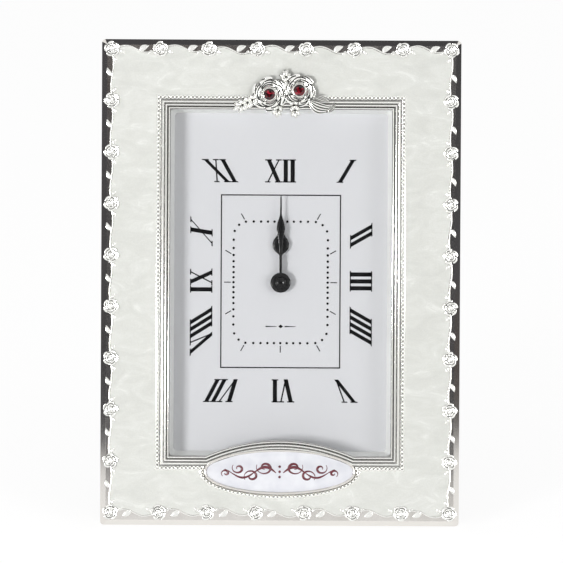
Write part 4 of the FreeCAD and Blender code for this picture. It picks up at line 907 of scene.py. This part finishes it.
class ClockSizes(bpy.types.PropertyGroup):
    """Sizes of the fine work, in the scene's metres."""
    vine_wave: length("Vine wave", "How far the vine leaves the straight line between roses", 1.35, 0, 2)
    vine_radius: length("Vine radius", "Half the thickness of the vine", 0.29, 0.1, 1)
    bead_pitch: length("Bead pitch", "Distance from one bead to the next", 1.68, 1, 4)
    roses_across: IntProperty(name="Roses across", description="Roses in the top row", default=8, min=4,
                              max=12)
    roses_down: IntProperty(name="Roses down", description="Roses in a side row", default=10, min=4, max=14)
    dot_radius: length("Minute dot radius", "Radius of a printed minute dot", 0.52, 0.2, 1)
    camera_distance: FloatProperty(name="Camera distance", description="From the camera to the dial",
                                   default=2.4, min=1.0, max=6.0, unit="LENGTH")
    camera_height: FloatProperty(name="Camera height angle",
                                 description="Angle of the camera above the floor's plane",
                                 default=math.radians(13.6), subtype="ANGLE")
    camera_roll: FloatProperty(name="Camera roll", description="Turn of the picture about its middle",
                               default=math.radians(0.3), subtype="ANGLE")


class ClockStudio(bpy.types.PropertyGroup):
    """Light and colour of the studio."""
    key_power: FloatProperty(name="Key lamp", description="Power of the large lamp at the left", default=13.6,
                             unit="POWER")
    fill_power: FloatProperty(name="Fill lamp", description="Power of the lamp at the right", default=4.4,
                              unit="POWER")
    sky: FloatProperty(name="Sky", description="Strength of the white surroundings on matt surfaces",
                       default=0.43, min=0, max=2)
    script_colour: FloatVectorProperty(name="Scroll ink",
                                       description="Colour of the painted scroll on the oval",
                                       default=rgb("#7A1F33")[:3], subtype="COLOR", size=3, min=0, max=1)


def sizes():
    """The sizes in use."""
    return bpy.context.scene.clock_sizes


class BuildStage(bpy.types.Operator):
    """Builds the floor, the black flags, the lamps, the white surroundings and the camera"""
    bl_idname = "clock.build_stage"
    bl_label = "Stage and Camera"

    def execute(self, context):
        scene, studio, own = context.scene, context.scene.clock_studio, sizes()
        scene.view_settings.view_transform = "Standard"
        low, high = CAD_BOX
        centre = (low + high) / 2
        self.card("Studio_floor", (0, 0, low[2]), (FLOOR_REACH, 0, 0), (0, FLOOR_REACH, 0), 9, studio_floor())
        flag = black_flag()
        for name, away, across, upward in FLAGS:
            self.card(name, np.array(centre) + away, across, upward, 5, flag, mirrors_only=True)
        self.surroundings(scene, studio)
        for name, away, size, power in LAMPS:
            self.lamp(name, away, size, getattr(studio, power), centre)

        data = bpy.data.cameras.new("Camera")
        data.sensor_width = 36.0
        data.lens = data.sensor_width * own.camera_distance / VIEW_WIDTH
        data.clip_start, data.clip_end = 0.05, 50
        camera = self.placed("Camera", data)
        back = Vector((0, -math.cos(own.camera_height), math.sin(own.camera_height)))
        turned = (-back).to_track_quat("-Z", "Y").to_matrix() @ Matrix.Rotation(own.camera_roll, 3, "Z")
        camera.rotation_quaternion = turned.to_quaternion()
        camera.location = Vector(leaned(*AIM, FACE).tolist()) + back * own.camera_distance
        scene.camera = camera
        return {"FINISHED"}

    def placed(self, name, data):
        """A new object in the scene, turned by quaternion."""
        made = bpy.data.objects.new(name, data)
        bpy.context.scene.collection.objects.link(made)
        made.rotation_mode = "QUATERNION"
        return made

    def card(self, name, middle_point, across, upward, count, material, mirrors_only=False):
        """A flat stage card of count by count points, from its middle and the halves of its two sides."""
        a, b = (part.reshape(-1, 1) for part in np.meshgrid(*[np.linspace(-1, 1, count)] * 2, indexing="ij"))
        points = np.array(middle_point) + a * np.array(across) + b * np.array(upward)
        mesh = bpy.data.meshes.new(name)
        mesh.from_pydata(points.tolist(), [], grid_faces(count, count)[:, ::-1].tolist())
        mesh.materials.append(material)
        made = self.placed(name, mesh)
        if mirrors_only:
            made.visible_camera = made.visible_diffuse = made.visible_shadow = False

    def lamp(self, name, away, size, power, centre):
        """A soft square lamp turned to the clock."""
        data = bpy.data.lights.new(name, "AREA")
        data.energy, data.shape, data.size = power, "SQUARE", size
        made = self.placed(name, data)
        made.location = centre + Vector(away)
        made.rotation_quaternion = (centre - made.location).to_track_quat("-Z", "Y")

    def surroundings(self, scene, studio):
        """White to the camera and glass, white to mirrors from the front and dimmer from behind the clock; a
        softer light on everything else."""
        world = bpy.data.worlds.new("Studio")
        scene.world = world
        world.use_nodes = True
        background = world.node_tree.nodes["Background"]
        background.inputs["Color"].default_value = (1, 1, 1, 1)
        seen, glossy = plainly_seen(world)
        level = spread(world, seen, studio.sky, 1.0, 0, 1)
        behind = axis_of(world, add(world, "ShaderNodeTexCoord").outputs["Generated"], "Y")
        loss = math_node(world, "MULTIPLY", spread(world, behind, 0, 0.5, -0.25, 0.6), glossy)
        wire(world, math_node(world, "SUBTRACT", level, loss), background, "Strength")


# Half width of the floor card in metres, and the lamps: name, place from the middle, size and power
FLOOR_REACH = 3.0
LAMPS = (("Key_lamp", (-0.8, -1.37, 0.12), 0.35, "key_power"),
         ("Fill_lamp", (0.95, -1.2, 0.3), 0.6, "fill_power"))
# Black flags: name, middle from the clock's middle, half of one side and half of the other, in metres
FLAGS = (
    ("Flag_left", (-1.3, -0.47, 0.23), (0, 0.26, 0), (0, 0, 0.3)),
    ("Flag_right", (1.3, -0.47, 0.24), (0, -0.26, 0), (0, 0, 0.3)),
    ("Flag_above", (0, -0.18, 1.3), (0.32, 0, 0), (0, 0.26, 0)),
    ("Flag_behind_camera", (0, -3.2, 0.64), (0.34, 0, 0), (0, 0, 0.255)),
)
# Width of the view at the clock in metres, and the point of the face that the camera looks at, in mm
VIEW_WIDTH = 0.2351
AIM = (0.38, MID_V + 0.69)


# A small rose: diameter and rise, and its rings' petals, reach, top and turn in petals
SMALL_ROSE = (6.4, 1.6)
ROSE_RINGS = ((5, 1.0, 0.5, 0.0), (4, 0.68, 0.78, 0.45), (3, 0.38, 1.0, 0.2))


class BuildBorder(bpy.types.Operator):
    """Builds the border: vine, small roses and leaves, cast in one with the frame"""
    bl_idname = "clock.build_border"
    bl_label = "Rose Border"

    def execute(self, context):
        own = sizes()
        metal = "Cast_Silver_Plate"
        points = border_points(own.roses_across, own.roses_down)
        line = vine_line(points, own.vine_wave / MM, 26)
        piece("border_vine_wire", tube_round(line, own.vine_radius / MM, FACE + 0.2), metal,
              stands_for="border_vine")
        turn = np.arange(len(points)) * 2.4
        roses = rose_relief(*points.T, *SMALL_ROSE, FACE, turn, ROSE_RINGS, 20, 60)
        piece("border_rose_castings", roses, metal, stands_for="border_roses")

        ends = np.roll(points, -1, axis=0)
        run, out = directions(ends - points)
        back_run, back_out = np.roll(run, 1, axis=0), np.roll(out, 1, axis=0)
        middle_point = (points + ends) / 2
        level = (np.abs(run[:, 0]) > 0.5)[:, None]
        base = middle_point + np.where(level, run * 1.3 - out * 0.9, -run * 0.6 - out * 0.1)
        tip = middle_point + np.where(level, run * 5.4 + out * 1.4, run * 2.9 + out * 2.0)
        outer = leaf_relief(base, tip, np.where(level[:, 0], 2.3, 1.8), 0.6, FACE + 0.06, bend=0.09, rows=14,
                            cols=11, hollow=0.16)
        inner_base = np.concatenate((points + run * 3.4 - out * 0.5,
                                     points - back_run * 3.4 - back_out * 0.5))
        lean = np.concatenate((run * 0.8 - out * 0.6, -back_run * 0.8 - back_out * 0.6))
        inner = leaf_relief(inner_base, inner_base + lean * 2.4, 1.3, 0.4, FACE, bend=0.06, rows=9, cols=7,
                            hollow=0.2)
        piece("border_leaf_castings", joined((outer, inner)), metal, stands_for="border_leaves")
        return {"FINISHED"}


class BuildEnamel(bpy.types.Operator):
    """Builds the pearl enamel field up to the vine, with its edge drawn up by surface tension"""
    bl_idname = "clock.build_enamel"
    bl_label = "Pearl Enamel"

    def execute(self, context):
        own = sizes()
        line = vine_line(border_points(own.roses_across, own.roses_down), own.vine_wave / MM, 26)
        low, high = leaned_box("bead_rail")
        inner_half = np.array((high[0] - 0.9, high[1] - 0.9))
        angle = np.arctan2(line[:, 1] / inner_half[1], line[:, 0] / inner_half[0])
        reach = 1 / np.maximum(np.abs(np.cos(angle)), np.abs(np.sin(angle)))
        inner = polar(reach, angle) * inner_half
        toward = directions(inner - line)[0]
        edge_rows = ((0.4, -0.5), (0.4, 0.03), (0.5, 0.1), (0.8, 0.09), (1.3, 0.08))
        rows = [(line + toward * inset, height) for inset, height in edge_rows]
        edge = rows[-1][0]
        rows += [(edge + (inner - edge) * share, 0.08) for share in (0.25, 0.5, 0.75, 1.0)] + [(inner, -0.5)]
        points = np.stack([leaned(r[:, 0], r[:, 1], FACE + h) for r, h in rows])
        shape = points.reshape(-1, 3), [grid_faces(len(rows), len(line), True, True)[:, ::-1]]
        piece("pearl_enamel_field", shape, "Pearl_Enamel", stands_for="enamel_panel", sharp=35)
        return {"FINISHED"}


def window_outline(steps=48):
    """The window's closed clockwise outline: three straight sides, and a bottom side with an arc rising over
    the oval. The arc's radius is (half^2 + rise^2) / (2*rise)."""
    low, high = leaned_box("window_glass")
    half_w, half_h = high[0] - GLASS_LAP, high[1] - GLASS_LAP
    radius = (ARCH_HALF ** 2 + ARCH_RISE ** 2) / (2 * ARCH_RISE)
    mid_v = -half_h + ARCH_RISE - radius
    end = math.asin(ARCH_HALF / radius)
    turn = np.linspace(end, -end, steps)
    arc = np.stack((radius * np.sin(turn), mid_v + radius * np.cos(turn)), axis=1)
    corners = [(-half_w, -half_h), (-half_w, half_h), (half_w, half_h), (half_w, -half_h)]
    return np.concatenate((np.array(corners), arc))


# How far the lip laps over the glass, half the arch's width and its rise, and a bead's radius
GLASS_LAP, ARCH_HALF, ARCH_RISE, BEAD_RADIUS = 2.4, 31.0, 6.6, 0.72


def bead_path(pitch):
    """Bead centres: the rectangle round the moulding, its bottom run giving way to the lower part of an oval
    round the plaque; the whole loop is divided into equal steps near the pitch."""
    low, high = leaned_box("bead_rail")
    half_w, top = high[0] - 1.0, high[1] - 1.0
    wide, tall = OVAL_HALF + 2.05
    start = math.asin((-top - OVAL_V) / tall)
    turn = np.linspace(start, -math.pi - start, 240)
    oval = np.stack((wide * np.cos(turn), OVAL_V + tall * np.sin(turn)), axis=1)
    loop = np.concatenate((np.array([(-half_w, top), (half_w, top), (half_w, -top)]), oval,
                           np.array([(-half_w, -top)])))
    closed = np.vstack((loop, loop[:1]))
    far = np.concatenate(([0], np.cumsum(np.linalg.norm(np.diff(closed, axis=0), axis=1))))
    count = int(round(far[-1] / pitch))
    where = np.arange(count) * far[-1] / count
    return loop, np.stack((np.interp(where, far, closed[:, 0]), np.interp(where, far, closed[:, 1])), axis=1)


class BuildMoulding(bpy.types.Operator):
    """Builds the window moulding's reeds, the beading, the oval's rim and the polished outer band"""
    bl_idname = "clock.build_moulding"
    bl_label = "Mouldings"

    def execute(self, context):
        metal, mirror = "Cast_Silver_Plate", "Polished_Silver_Plate"
        outline = window_outline()
        bed = ((0.15, FACE + 0.3), (0.15, FACE + 0.66), (4.0, FACE + 0.66), (4.05, FACE + 0.1))
        # Painted shade: 0.3 on the bed between the reeds and 0.13 on the reeds themselves
        reeds = [crease_shaded(swept(outline, bed), 0.3)]
        for centre, half, low, high in REEDS:
            reeds.append(crease_shaded(swept(outline, reed(centre, half, FACE + low, FACE + high)), 0.13))
        piece("moulding_reeds", joined(reeds), metal, sharp=50)

        loop, beads = bead_path(sizes().bead_pitch / MM)
        own = []
        for radius, height in ((1.0, 0.0), (0.92, 0.42), (0.55, 0.83)):
            ring = beads[:, None] + polar(BEAD_RADIUS * radius, round_turn(8))
            own.append(leaned(ring[..., 0], ring[..., 1], FACE + 0.3 + 0.62 * height))
        own = np.concatenate(own + [leaned(beads[:, :1], beads[:, 1:], FACE + 0.95)], axis=1)
        domes = copies(own[0], [grid_faces(3, 8, False, True), fan_faces(np.arange(16, 24), 24)], own)
        edge = ((-0.95, -0.2), (-0.95, 0.07), (-0.7, 0.32), (0.7, 0.32), (0.95, 0.07), (0.95, -0.2))
        strip = swept(loop, [(offset, FACE + height) for offset, height in edge])
        # The slot along the beads is painted with shade between them
        slot = swept(loop, ((-0.3, FACE + 0.2), (-0.3, FACE + 0.34), (0.3, FACE + 0.34), (0.3, FACE + 0.2)))
        piece("bead_strand", joined((domes, strip, crease_shaded(slot, 0.5))), metal, stands_for="bead_rail",
              sharp=60)

        oval = (0, OVAL_V) + OVAL_HALF * polar(1, -round_turn(160))
        rim = swept(oval, reed(0.42, 0.5, FACE + 1.0, FACE + 1.42, 11))
        piece("oval_rim_ring", rim, mirror)

        profile = ((-8.5, FACE - 0.3), (-8.5, FACE + 0.05), (-2.3, FACE + 0.05),
                   (-0.02, FACE - 1.6), (0.0, FACE - 2.6), (-1.0, FACE - 2.6))
        piece("polished_outer_band", carried(frame_corners, profile), mirror, sharp=12)
        return {"FINISHED"}


def frame_corners(offset):
    """The frame's clockwise outline moved outward by offset, its corners' radius being 1.5 + offset."""
    radius = max(1.5 + offset, 0.02)
    turn = np.linspace(math.pi, -math.pi, 4 * 9 + 1)[:-1].reshape(4, 9)
    turn = np.concatenate((turn, turn[:, :1] - math.pi / 2), axis=1)
    centre = FRAME_HIGH[:2] - 1.5 + min(1.5 + offset - radius, 0)
    corners = np.array([(-1, 1), (1, 1), (1, -1), (-1, -1)])[:, None] * centre
    return (corners + polar(radius, turn)).reshape(-1, 2)


# Reeds of the moulding: middle outward from the window, half width, low and high above the face
REEDS = ((3.07, 0.54, 0.62, 1.24), (1.75, 0.55, 0.65, 1.48), (0.47, 0.52, 0.7, 1.68))


class BuildSpray(bpy.types.Operator):
    """Builds the spray of two roses with leaves, and its garnet stones"""
    bl_idname = "clock.build_spray"
    bl_label = "Rose Spray"

    def execute(self, context):
        metal = "Cast_Silver_Plate"
        seat = MOULDING_TOP
        parts = []
        stones = [middle("crystal_left"), middle("crystal_right")]
        for (u, v), diameter, phase in zip(stones, (14.6, 13.6), (0.3, 1.5)):
            parts.append(rose_relief(u, v, diameter, 2.75, seat, phase, SPRAY_RINGS, 110, 240, groove=0.055))
            parts.append(spun(u, v, [(radius, seat + height) for radius, height in STONE_COLLAR], 40))
        for base, tip, leaflets, length, width, rise in FRONDS:
            rows = frond(base, tip, leaflets, length, width)
            parts.append(leaf_relief(rows[:, 0:2], rows[:, 2:4], rows[:, 4], rise, seat - 0.02, rows=12,
                                     hollow=0.15))
            # A low leaf along each frond, under its leaflets, painted dark with shade
            points, faces = leaf_relief(base, tip, length * 0.9, rise * 0.35, seat - 0.04, cols=7)
            parts.append(crease_shaded((points[:, :3], faces), 0.75))
        for base, tip, width, bend, rise in CURLED_LEAVES:
            parts.append(leaf_relief(base, tip, width, rise, seat, bend, 24, 33, 0.55, 0.85, stripes=2.0))
        piece("rose_spray_casting", joined(parts), metal, stands_for="rose_spray")
        for side, (u, v) in zip(("left", "right"), stones):
            low, high = leaned_box("crystal_" + side)
            stone = brilliant(u, v, 2.35, low[2], high[2] - low[2])
            piece("garnet_" + side, stone, "Garnet_Crystal", stands_for="crystal_" + side, sharp=5)
        return {"FINISHED"}


# Collar of a stone: radius and height
STONE_COLLAR = ((2.75, 1.5), (2.7, 2.85), (2.5, 3.05), (2.3, 2.95), (2.2, 2.2))
# Rings of petals of the two big roses: petals, reach, top, phase
SPRAY_RINGS = ((6, 1.0, 0.36, 0.0), (5, 0.88, 0.5, 0.45), (5, 0.76, 0.66, 0.1), (4, 0.64, 0.82, 0.4),
               (4, 0.51, 1.0, 0.2))
# Fronds of the spray: base, tip, pairs of leaflets, their length and width, rise
FRONDS = (
    ((-9.8, 77.4), (-20.3, 72.2), 4, 4.0, 2.1, 1.6), ((-0.6, 76.5), (-2.2, 68.8), 3, 3.3, 1.7, 1.5),
    ((4.8, 76.5), (6.2, 68.5), 3, 3.3, 1.7, 1.5), ((3.8, 82.5), (0.2, 88.9), 3, 3.6, 1.8, 1.5),
)
# Curled leaves: base, tip, width, bend, rise
CURLED_LEAVES = (((10.4, 77.6), (21.6, 73.2), 4.6, -0.2, 1.7), ((12.0, 78.4), (20.0, 75.6), 2.6, 0.04, 1.4),
                 ((18.6, 71.2), (22.3, 75.2), 2.2, -0.1, 1.9), ((-3.0, 77.5), (5.0, 81.5), 4.0, 0.0, 0.9))


class BuildPlaque(bpy.types.Operator):
    """Builds the crowned oval plaque and its painted scroll"""
    bl_idname = "clock.build_plaque"
    bl_label = "Oval Plaque"

    def execute(self, context):
        wide, tall = OVAL_HALF - 0.05
        turn = round_turn(120)
        shares = np.array((1.0, 1.0, 0.985, 0.95, 0.88, 0.75, 0.5, 0.25))[:, None]
        heights = FACE + 0.55 + CROWN * (1 - shares ** 2)
        heights[0] = FACE
        points = leaned(shares * wide * np.cos(turn), OVAL_V + shares * tall * np.sin(turn),
                        heights).reshape(-1, 3)
        poles = leaned(0, OVAL_V, np.array((FACE, FACE + 0.55 + CROWN)))
        piece("oval_plaque_dome", (np.concatenate((points, poles)), ring_faces(8, 120)), "Plaque_Enamel",
              stands_for="oval_plaque", sharp=60)

        strokes = []
        for side in (-1, 1):
            for au, av, size, wind, start in SCROLLS:
                t = np.linspace(0, 1, 70)
                angle = start + wind * 2 * math.pi * t
                radius = size * (1 - 0.82 * t)
                path = (0, OVAL_V) + (side, 1) * ((au, av) + polar(radius, angle) * (1, 0.85))
                strokes.append((path, 0.26 + 0.75 * np.sin(math.pi * t) ** 2))
            t = np.linspace(0, 1, 90)
            path = np.stack((side * (1.5 + 21.5 * t),
                             OVAL_V - 0.4 + 2.6 * np.sin(2.3 * math.pi * t) * (1 - 0.35 * t)), axis=1)
            strokes.append((path, 0.35 + 0.95 * np.abs(np.sin(2.3 * math.pi * t)) * (1 - 0.7 * t)))
        parts = []
        for path, width in strokes:
            level = FACE + 0.57 + CROWN * (1 - (path[:, 0] / wide) ** 2 - ((path[:, 1] - OVAL_V) / tall) ** 2)
            parts.append(ribbon(path, width, level + 0.02))
        parts.append(round_dots(np.array([(0.0, OVAL_V + 0.1), (0.0, OVAL_V + 2.2), (0.0, OVAL_V - 2.1)]),
                                0.55, FACE + 1.2))
        piece("oval_scroll", joined(parts), "Burgundy_Ink")
        return {"FINISHED"}


# How far the resin crowns over the plaque's edge
CROWN = 0.62
# Scrolls of the flourish: middle u and v from the plaque's middle, radius, turns and starting angle
SCROLLS = ((6.2, 1.8, 3.6, -1.35, 0.4), (11.8, -1.8, 3.2, 1.3, -0.6), (17.3, 1.4, 2.7, -1.2, 0.7),
           (22.6, -0.6, 1.9, 1.15, -0.9))

# Track of the minute dots: half width, half height and corner radius
DOT_TRACK = (19.75, 25.5, 6.15)
# Printed line round the track: left, bottom, right, top
PRINTED_FRAME = (-25.2, -36.05, 25.2, 36.85)


class BuildDial(bpy.types.Operator):
    """Builds the dial's print, and gives the card, the pane and the spacer their finishes"""
    bl_idname = "clock.build_dial"
    bl_label = "Dial"

    def execute(self, context):
        level = DIAL_FRONT + 0.04
        dots = on_track(*DOT_TRACK, np.arange(60) * math.pi / 30)
        hours = np.arange(12) * math.pi / 6
        ray = np.stack((np.sin(hours), np.cos(hours)), axis=1)
        start = on_track(*DOT_TRACK, hours) + 1.15 * ray
        side = np.stack((ray[:, 1], -ray[:, 0]), axis=1) * 0.2
        stop = start + ray * 2.8
        strokes = np.stack((start - side, start + side, stop + side, stop - side), axis=1)
        lozenge = np.array([[(-0.9, -18.5), (0.1, -19.3), (1.1, -18.5), (0.1, -17.7)]] + [
            [(side + 1.8, -18.75), (side + 6.4, -18.6), (side + 6.4, -18.4), (side + 1.8, -18.25)]
            for side in (0, -8.0)])
        parts = [quads_on(numeral_patches((28.8, 41.3), (38.2, 51.0)), level), quads_on(strokes, level),
                 quads_on(lozenge, level), round_dots(dots, sizes().dot_radius / MM, level),
                 bars_on(bars_of(*PRINTED_FRAME, 0.5), level)]
        piece("dial_print", joined(parts), "Black_Print")
        dress("Dial_Card", "dial_plate")
        dress("Clear_Float_Glass", "window_glass")
        dress("White_Spacer_Plastic", "spacer_frame")
        return {"FINISHED"}


# Hands: body, (place, half width) from the axis and from the tip, and the hub as (radius, height), with its
# points round
HAND_SHAPES = (
    ("minute",
     ((-0.5, 0.9), (3.6, 0.62), (12.2, 0.5), (17.5, 0.95), (22.5, 1.85), (25.2, 1.45), (27.2, 0.7),
      (28.6, 0.38)), ((-0.8, 0.3), (0.0, 0.08)),
     ((0, 0.05), (4.0, 0.02), (4.2, 0.2), (4.05, 0.42), (3.4, 0.5), (0, 0.52)), 64),
    ("hour",
     ((0.0, 0.7), (3.0, 0.6), (11.6, 0.6), (12.2, 1.2), (13.0, 2.4), (14.4, 3.25), (16.1, 3.5),
      (17.8, 3.05), (19.6, 1.8), (21.2, 0.85), (22.4, 0.4)), ((0.0, 0.08),),
     ((1.3, 0.02), (3.2, 0.02), (3.3, 0.2), (3.1, 0.42), (1.35, 0.46), (1.3, 0.02)), 48),
)


class BuildHands(bpy.types.Operator):
    """Builds the two lacquered hands and their cap"""
    bl_idname = "clock.build_hands"
    bl_label = "Hands"

    def execute(self, context):
        lacquer = "Black_Lacquered_Hands"
        for body, shaft, point, hub, count in HAND_SHAPES:
            low, high = leaned_box(body + "_hand")
            outline = np.array(shaft + tuple((high[1] + place, half) for place, half in point))
            boss = spun(0, 0, [(radius, low[2] + height) for radius, height in hub], count)
            parts = blade(outline[:, 0], outline[:, 1], low[2], low[2] + 0.42, 0.05), boss
            piece(body + "_hand_blade", joined(parts), lacquer, body, body + "_hand", sharp=50)
        low, high = leaned_box("hand_cap")
        profile = [(0, low[2] + 0.02), (2.3, low[2] + 0.02), (2.4, low[2] + 0.2), (2.38, low[2] + 0.55)]
        for radius, drop in ((2.1, 0.06), (1.75, 0.02), (1.6, 0.2), (0.6, 0.24), (0, 0.22)):
            profile.append((radius, high[2] - drop))
        piece("hand_cap_ring", spun(0, 0, profile), lacquer, "minute", "hand_cap")
        return {"FINISHED"}


class BuildBack(bpy.types.Operator):
    """Gives the back and the movement their finishes, and builds their raised work and rivets"""
    bl_idname = "clock.build_back"
    bl_label = "Back and Movement"

    def execute(self, context):
        for subpart in frame["record"]["subparts"]:
            if subpart["material_slot"] in SLOT_FINISH:
                dress(SLOT_FINISH[subpart["material_slot"]], subpart["node"])
        self.cover()
        self.knob()
        self.rivets()
        return {"FINISHED"}

    def cover(self):
        """Raised work of the moulded cover and its body: a rim, ribs down the sides, setting arrows round the
        knob, and the cell's outline with its pole marks."""
        low, high = leaned_box("movement_cover")
        knob, face = np.array(middle("setting_knob")), low[2] + 0.05
        bars = bars_of(low[0] + 1.2, low[1] + 1.2, high[0] - 1.2, high[1] - 1.2, 0.5)
        bars += bars_of(*CELL_OUTLINE, 0.4) + list(POLE_MARKS)
        parts = [bars_on(bars, face, RAISED)]
        for start in (0.25, 0.25 + math.pi):
            turn = start + np.linspace(0, 2.2, 30)
            parts.append(ribbon(knob + polar(8.2, turn), 0.8, face, RAISED))
            end = turn[-1]
            head = np.array([(8.2, end + 0.26), (6.9, end), (8.2, end + 0.02), (9.5, end)])[::-1]
            parts.append(quads_on([knob + polar(*head.T)], face, RAISED))
        low, high = leaned_box("movement_case")
        ribs = [(u, v, u + 0.5, v + 1.4) for v in np.arange(-8.0, 25.0, 4.0)
                for u in (low[0] - 0.45, high[0] - 0.05)]
        parts.append(bars_on(ribs, -4.7, 11.0))
        piece("movement_raised_work", joined(parts), "Black_Movement_Plastic", sharp=30)

    def knob(self):
        """Knurled grip: the rim's radius is r*(1 + 0.02*cos(32*a)), closed by a dished end with a raised
        pointer."""
        low, high = leaned_box("setting_knob")
        u, v = middle("setting_knob")
        turn = round_turn(192)
        rings = []
        for share, height, deep in KNOB_ROWS:
            radius = 4.5 * share * (1 + 0.02 * deep * np.cos(32 * turn))
            rings.append(leaned(u + radius * np.cos(turn), v + radius * np.sin(turn), low[2] + height))
        count = len(rings)
        points = np.concatenate(rings + [leaned(u, v, low[2] + 0.42)[None]])
        faces = [grid_faces(count, 192, False, True)[:, ::-1],
                 fan_faces(np.arange(192) + 192 * (count - 1), 192 * count, True)]
        pointer = bars_on([(u - 0.35, v + 0.5, u + 0.35, v + 2.9)], low[2] + 0.5, 0.4)
        piece("knob_grip", joined(((points, faces), pointer)), "Grey_Knob_Plastic", "setting", sharp=40)

    def rivets(self):
        """Domed heads over the rivets of the hinge and of the turn buttons."""
        parts = []
        for node, rows, reach in (("button_rivets", (1, -1), 2.3), ("hinge_rivets", (0,), 1.95)):
            low, high = leaned_box(node)
            profile = [(share * reach, low[2] + height) for share, height in RIVET_HEAD]
            for row in rows:
                v = row * (high[1] - reach) if row else (low[1] + high[1]) / 2
                parts += [spun(side * (high[0] - reach), v, profile, 32) for side in (-1, 1)]
        piece("rivet_heads", joined(parts), "Nickel_Plated_Steel")


# Height of the cover's raised work, and its marks as (left, bottom, right, top): the cell's outline, a plus
# sign of two bars, a minus sign and the outline's nub
RAISED = 0.32
CELL_OUTLINE = (-13.0, -9.2, 11.0, -4.5)
POLE_MARKS = ((17.2, -7.2, 20.8, -6.5), (18.65, -8.65, 19.35, -5.05), (-20.8, -7.2, -17.2, -6.5),
              (11.0, -7.9, 12.4, -5.8))
# Rows of the knob's grip: share of its radius, height and depth of the knurls
KNOB_ROWS = ((1.0, 3.4, 1), (1.03, 3.1, 1), (1.03, 0.45, 1), (0.97, 0.05, 0.4), (0.9, -0.05, 0),
             (0.8, 0.0, 0), (0.72, 0.35, 0), (0.4, 0.4, 0))
# Rivet head: share of its radius and height
RIVET_HEAD = ((0, -0.3), (0.5, -0.25), (0.85, -0.05), (1.01, 0.2), (1.02, 0.6))
SLOT_FINISH = {
    "black_board": "Black_Flocked_Board", "nickel_steel": "Nickel_Plated_Steel",
    "black_plastic": "Black_Movement_Plastic",
    "grey_foam": "Grey_Foam_Pad", "white_gear_plastic": "White_Acetal_Wheels",
    "circuit_laminate": "Circuit_Laminate",
    "copper_wire": "Wound_Copper_Wire", "motor_iron": "Punched_Iron", "cell_wrap": "Cell_Jacket",
    "knob_plastic": "Grey_Knob_Plastic", "brass_arbor": "Turned_Brass",
}


class BuildFinishes(bpy.types.Operator):
    """Makes every finish, and gives the cast frame its plating"""
    bl_idname = "clock.build_finishes"
    bl_label = "Finishes"

    def execute(self, context):
        grained_finishes()
        for make in (satin_plating_with_painted_shade, cast_plating, pearl_enamel, burgundy_ink, red_crystal, clear_glass,
                     black_flock, grey_foam, circuit_laminate, wound_copper, cell_jacket):
            make()
        dress("Satin_Silver_Plate", "frame_shell")
        return {"FINISHED"}


class ClockPanel(bpy.types.Panel):
    """Lists the clock's settings and the operators that build it"""
    bl_idname = "VIEW3D_PT_frame_clock"
    bl_label = "Frame Clock"
    bl_space_type = "VIEW_3D"
    bl_region_type = "UI"
    bl_category = "Frame Clock"

    def draw(self, context):
        layout = self.layout
        for group in (context.scene.clock_sizes, context.scene.clock_studio):
            box = layout.box()
            for name in group.__annotations__:
                box.prop(group, name)
        for operator in OPERATORS:
            layout.operator(operator.bl_idname)


OPERATORS = (BuildFinishes, BuildStage, BuildBorder, BuildEnamel, BuildMoulding, BuildSpray, BuildPlaque,
             BuildDial, BuildHands, BuildBack)


def register():
    """Adds the settings, the operators and the panel."""
    for kind in (ClockSizes, ClockStudio) + OPERATORS + (ClockPanel,):
        bpy.utils.register_class(kind)
    bpy.types.Scene.clock_sizes = PointerProperty(type=ClockSizes)
    bpy.types.Scene.clock_studio = PointerProperty(type=ClockStudio)


def unregister():
    """Takes the settings, the operators and the panel away again."""
    del bpy.types.Scene.clock_studio
    del bpy.types.Scene.clock_sizes
    for kind in reversed((ClockSizes, ClockStudio) + OPERATORS + (ClockPanel,)):
        bpy.utils.unregister_class(kind)


def main():
    """Builds the whole clock."""
    register()
    for operator in OPERATORS:
        family, name = operator.bl_idname.split(".")
        getattr(getattr(bpy.ops, family), name)()


if __name__ == "__main__":
    main()
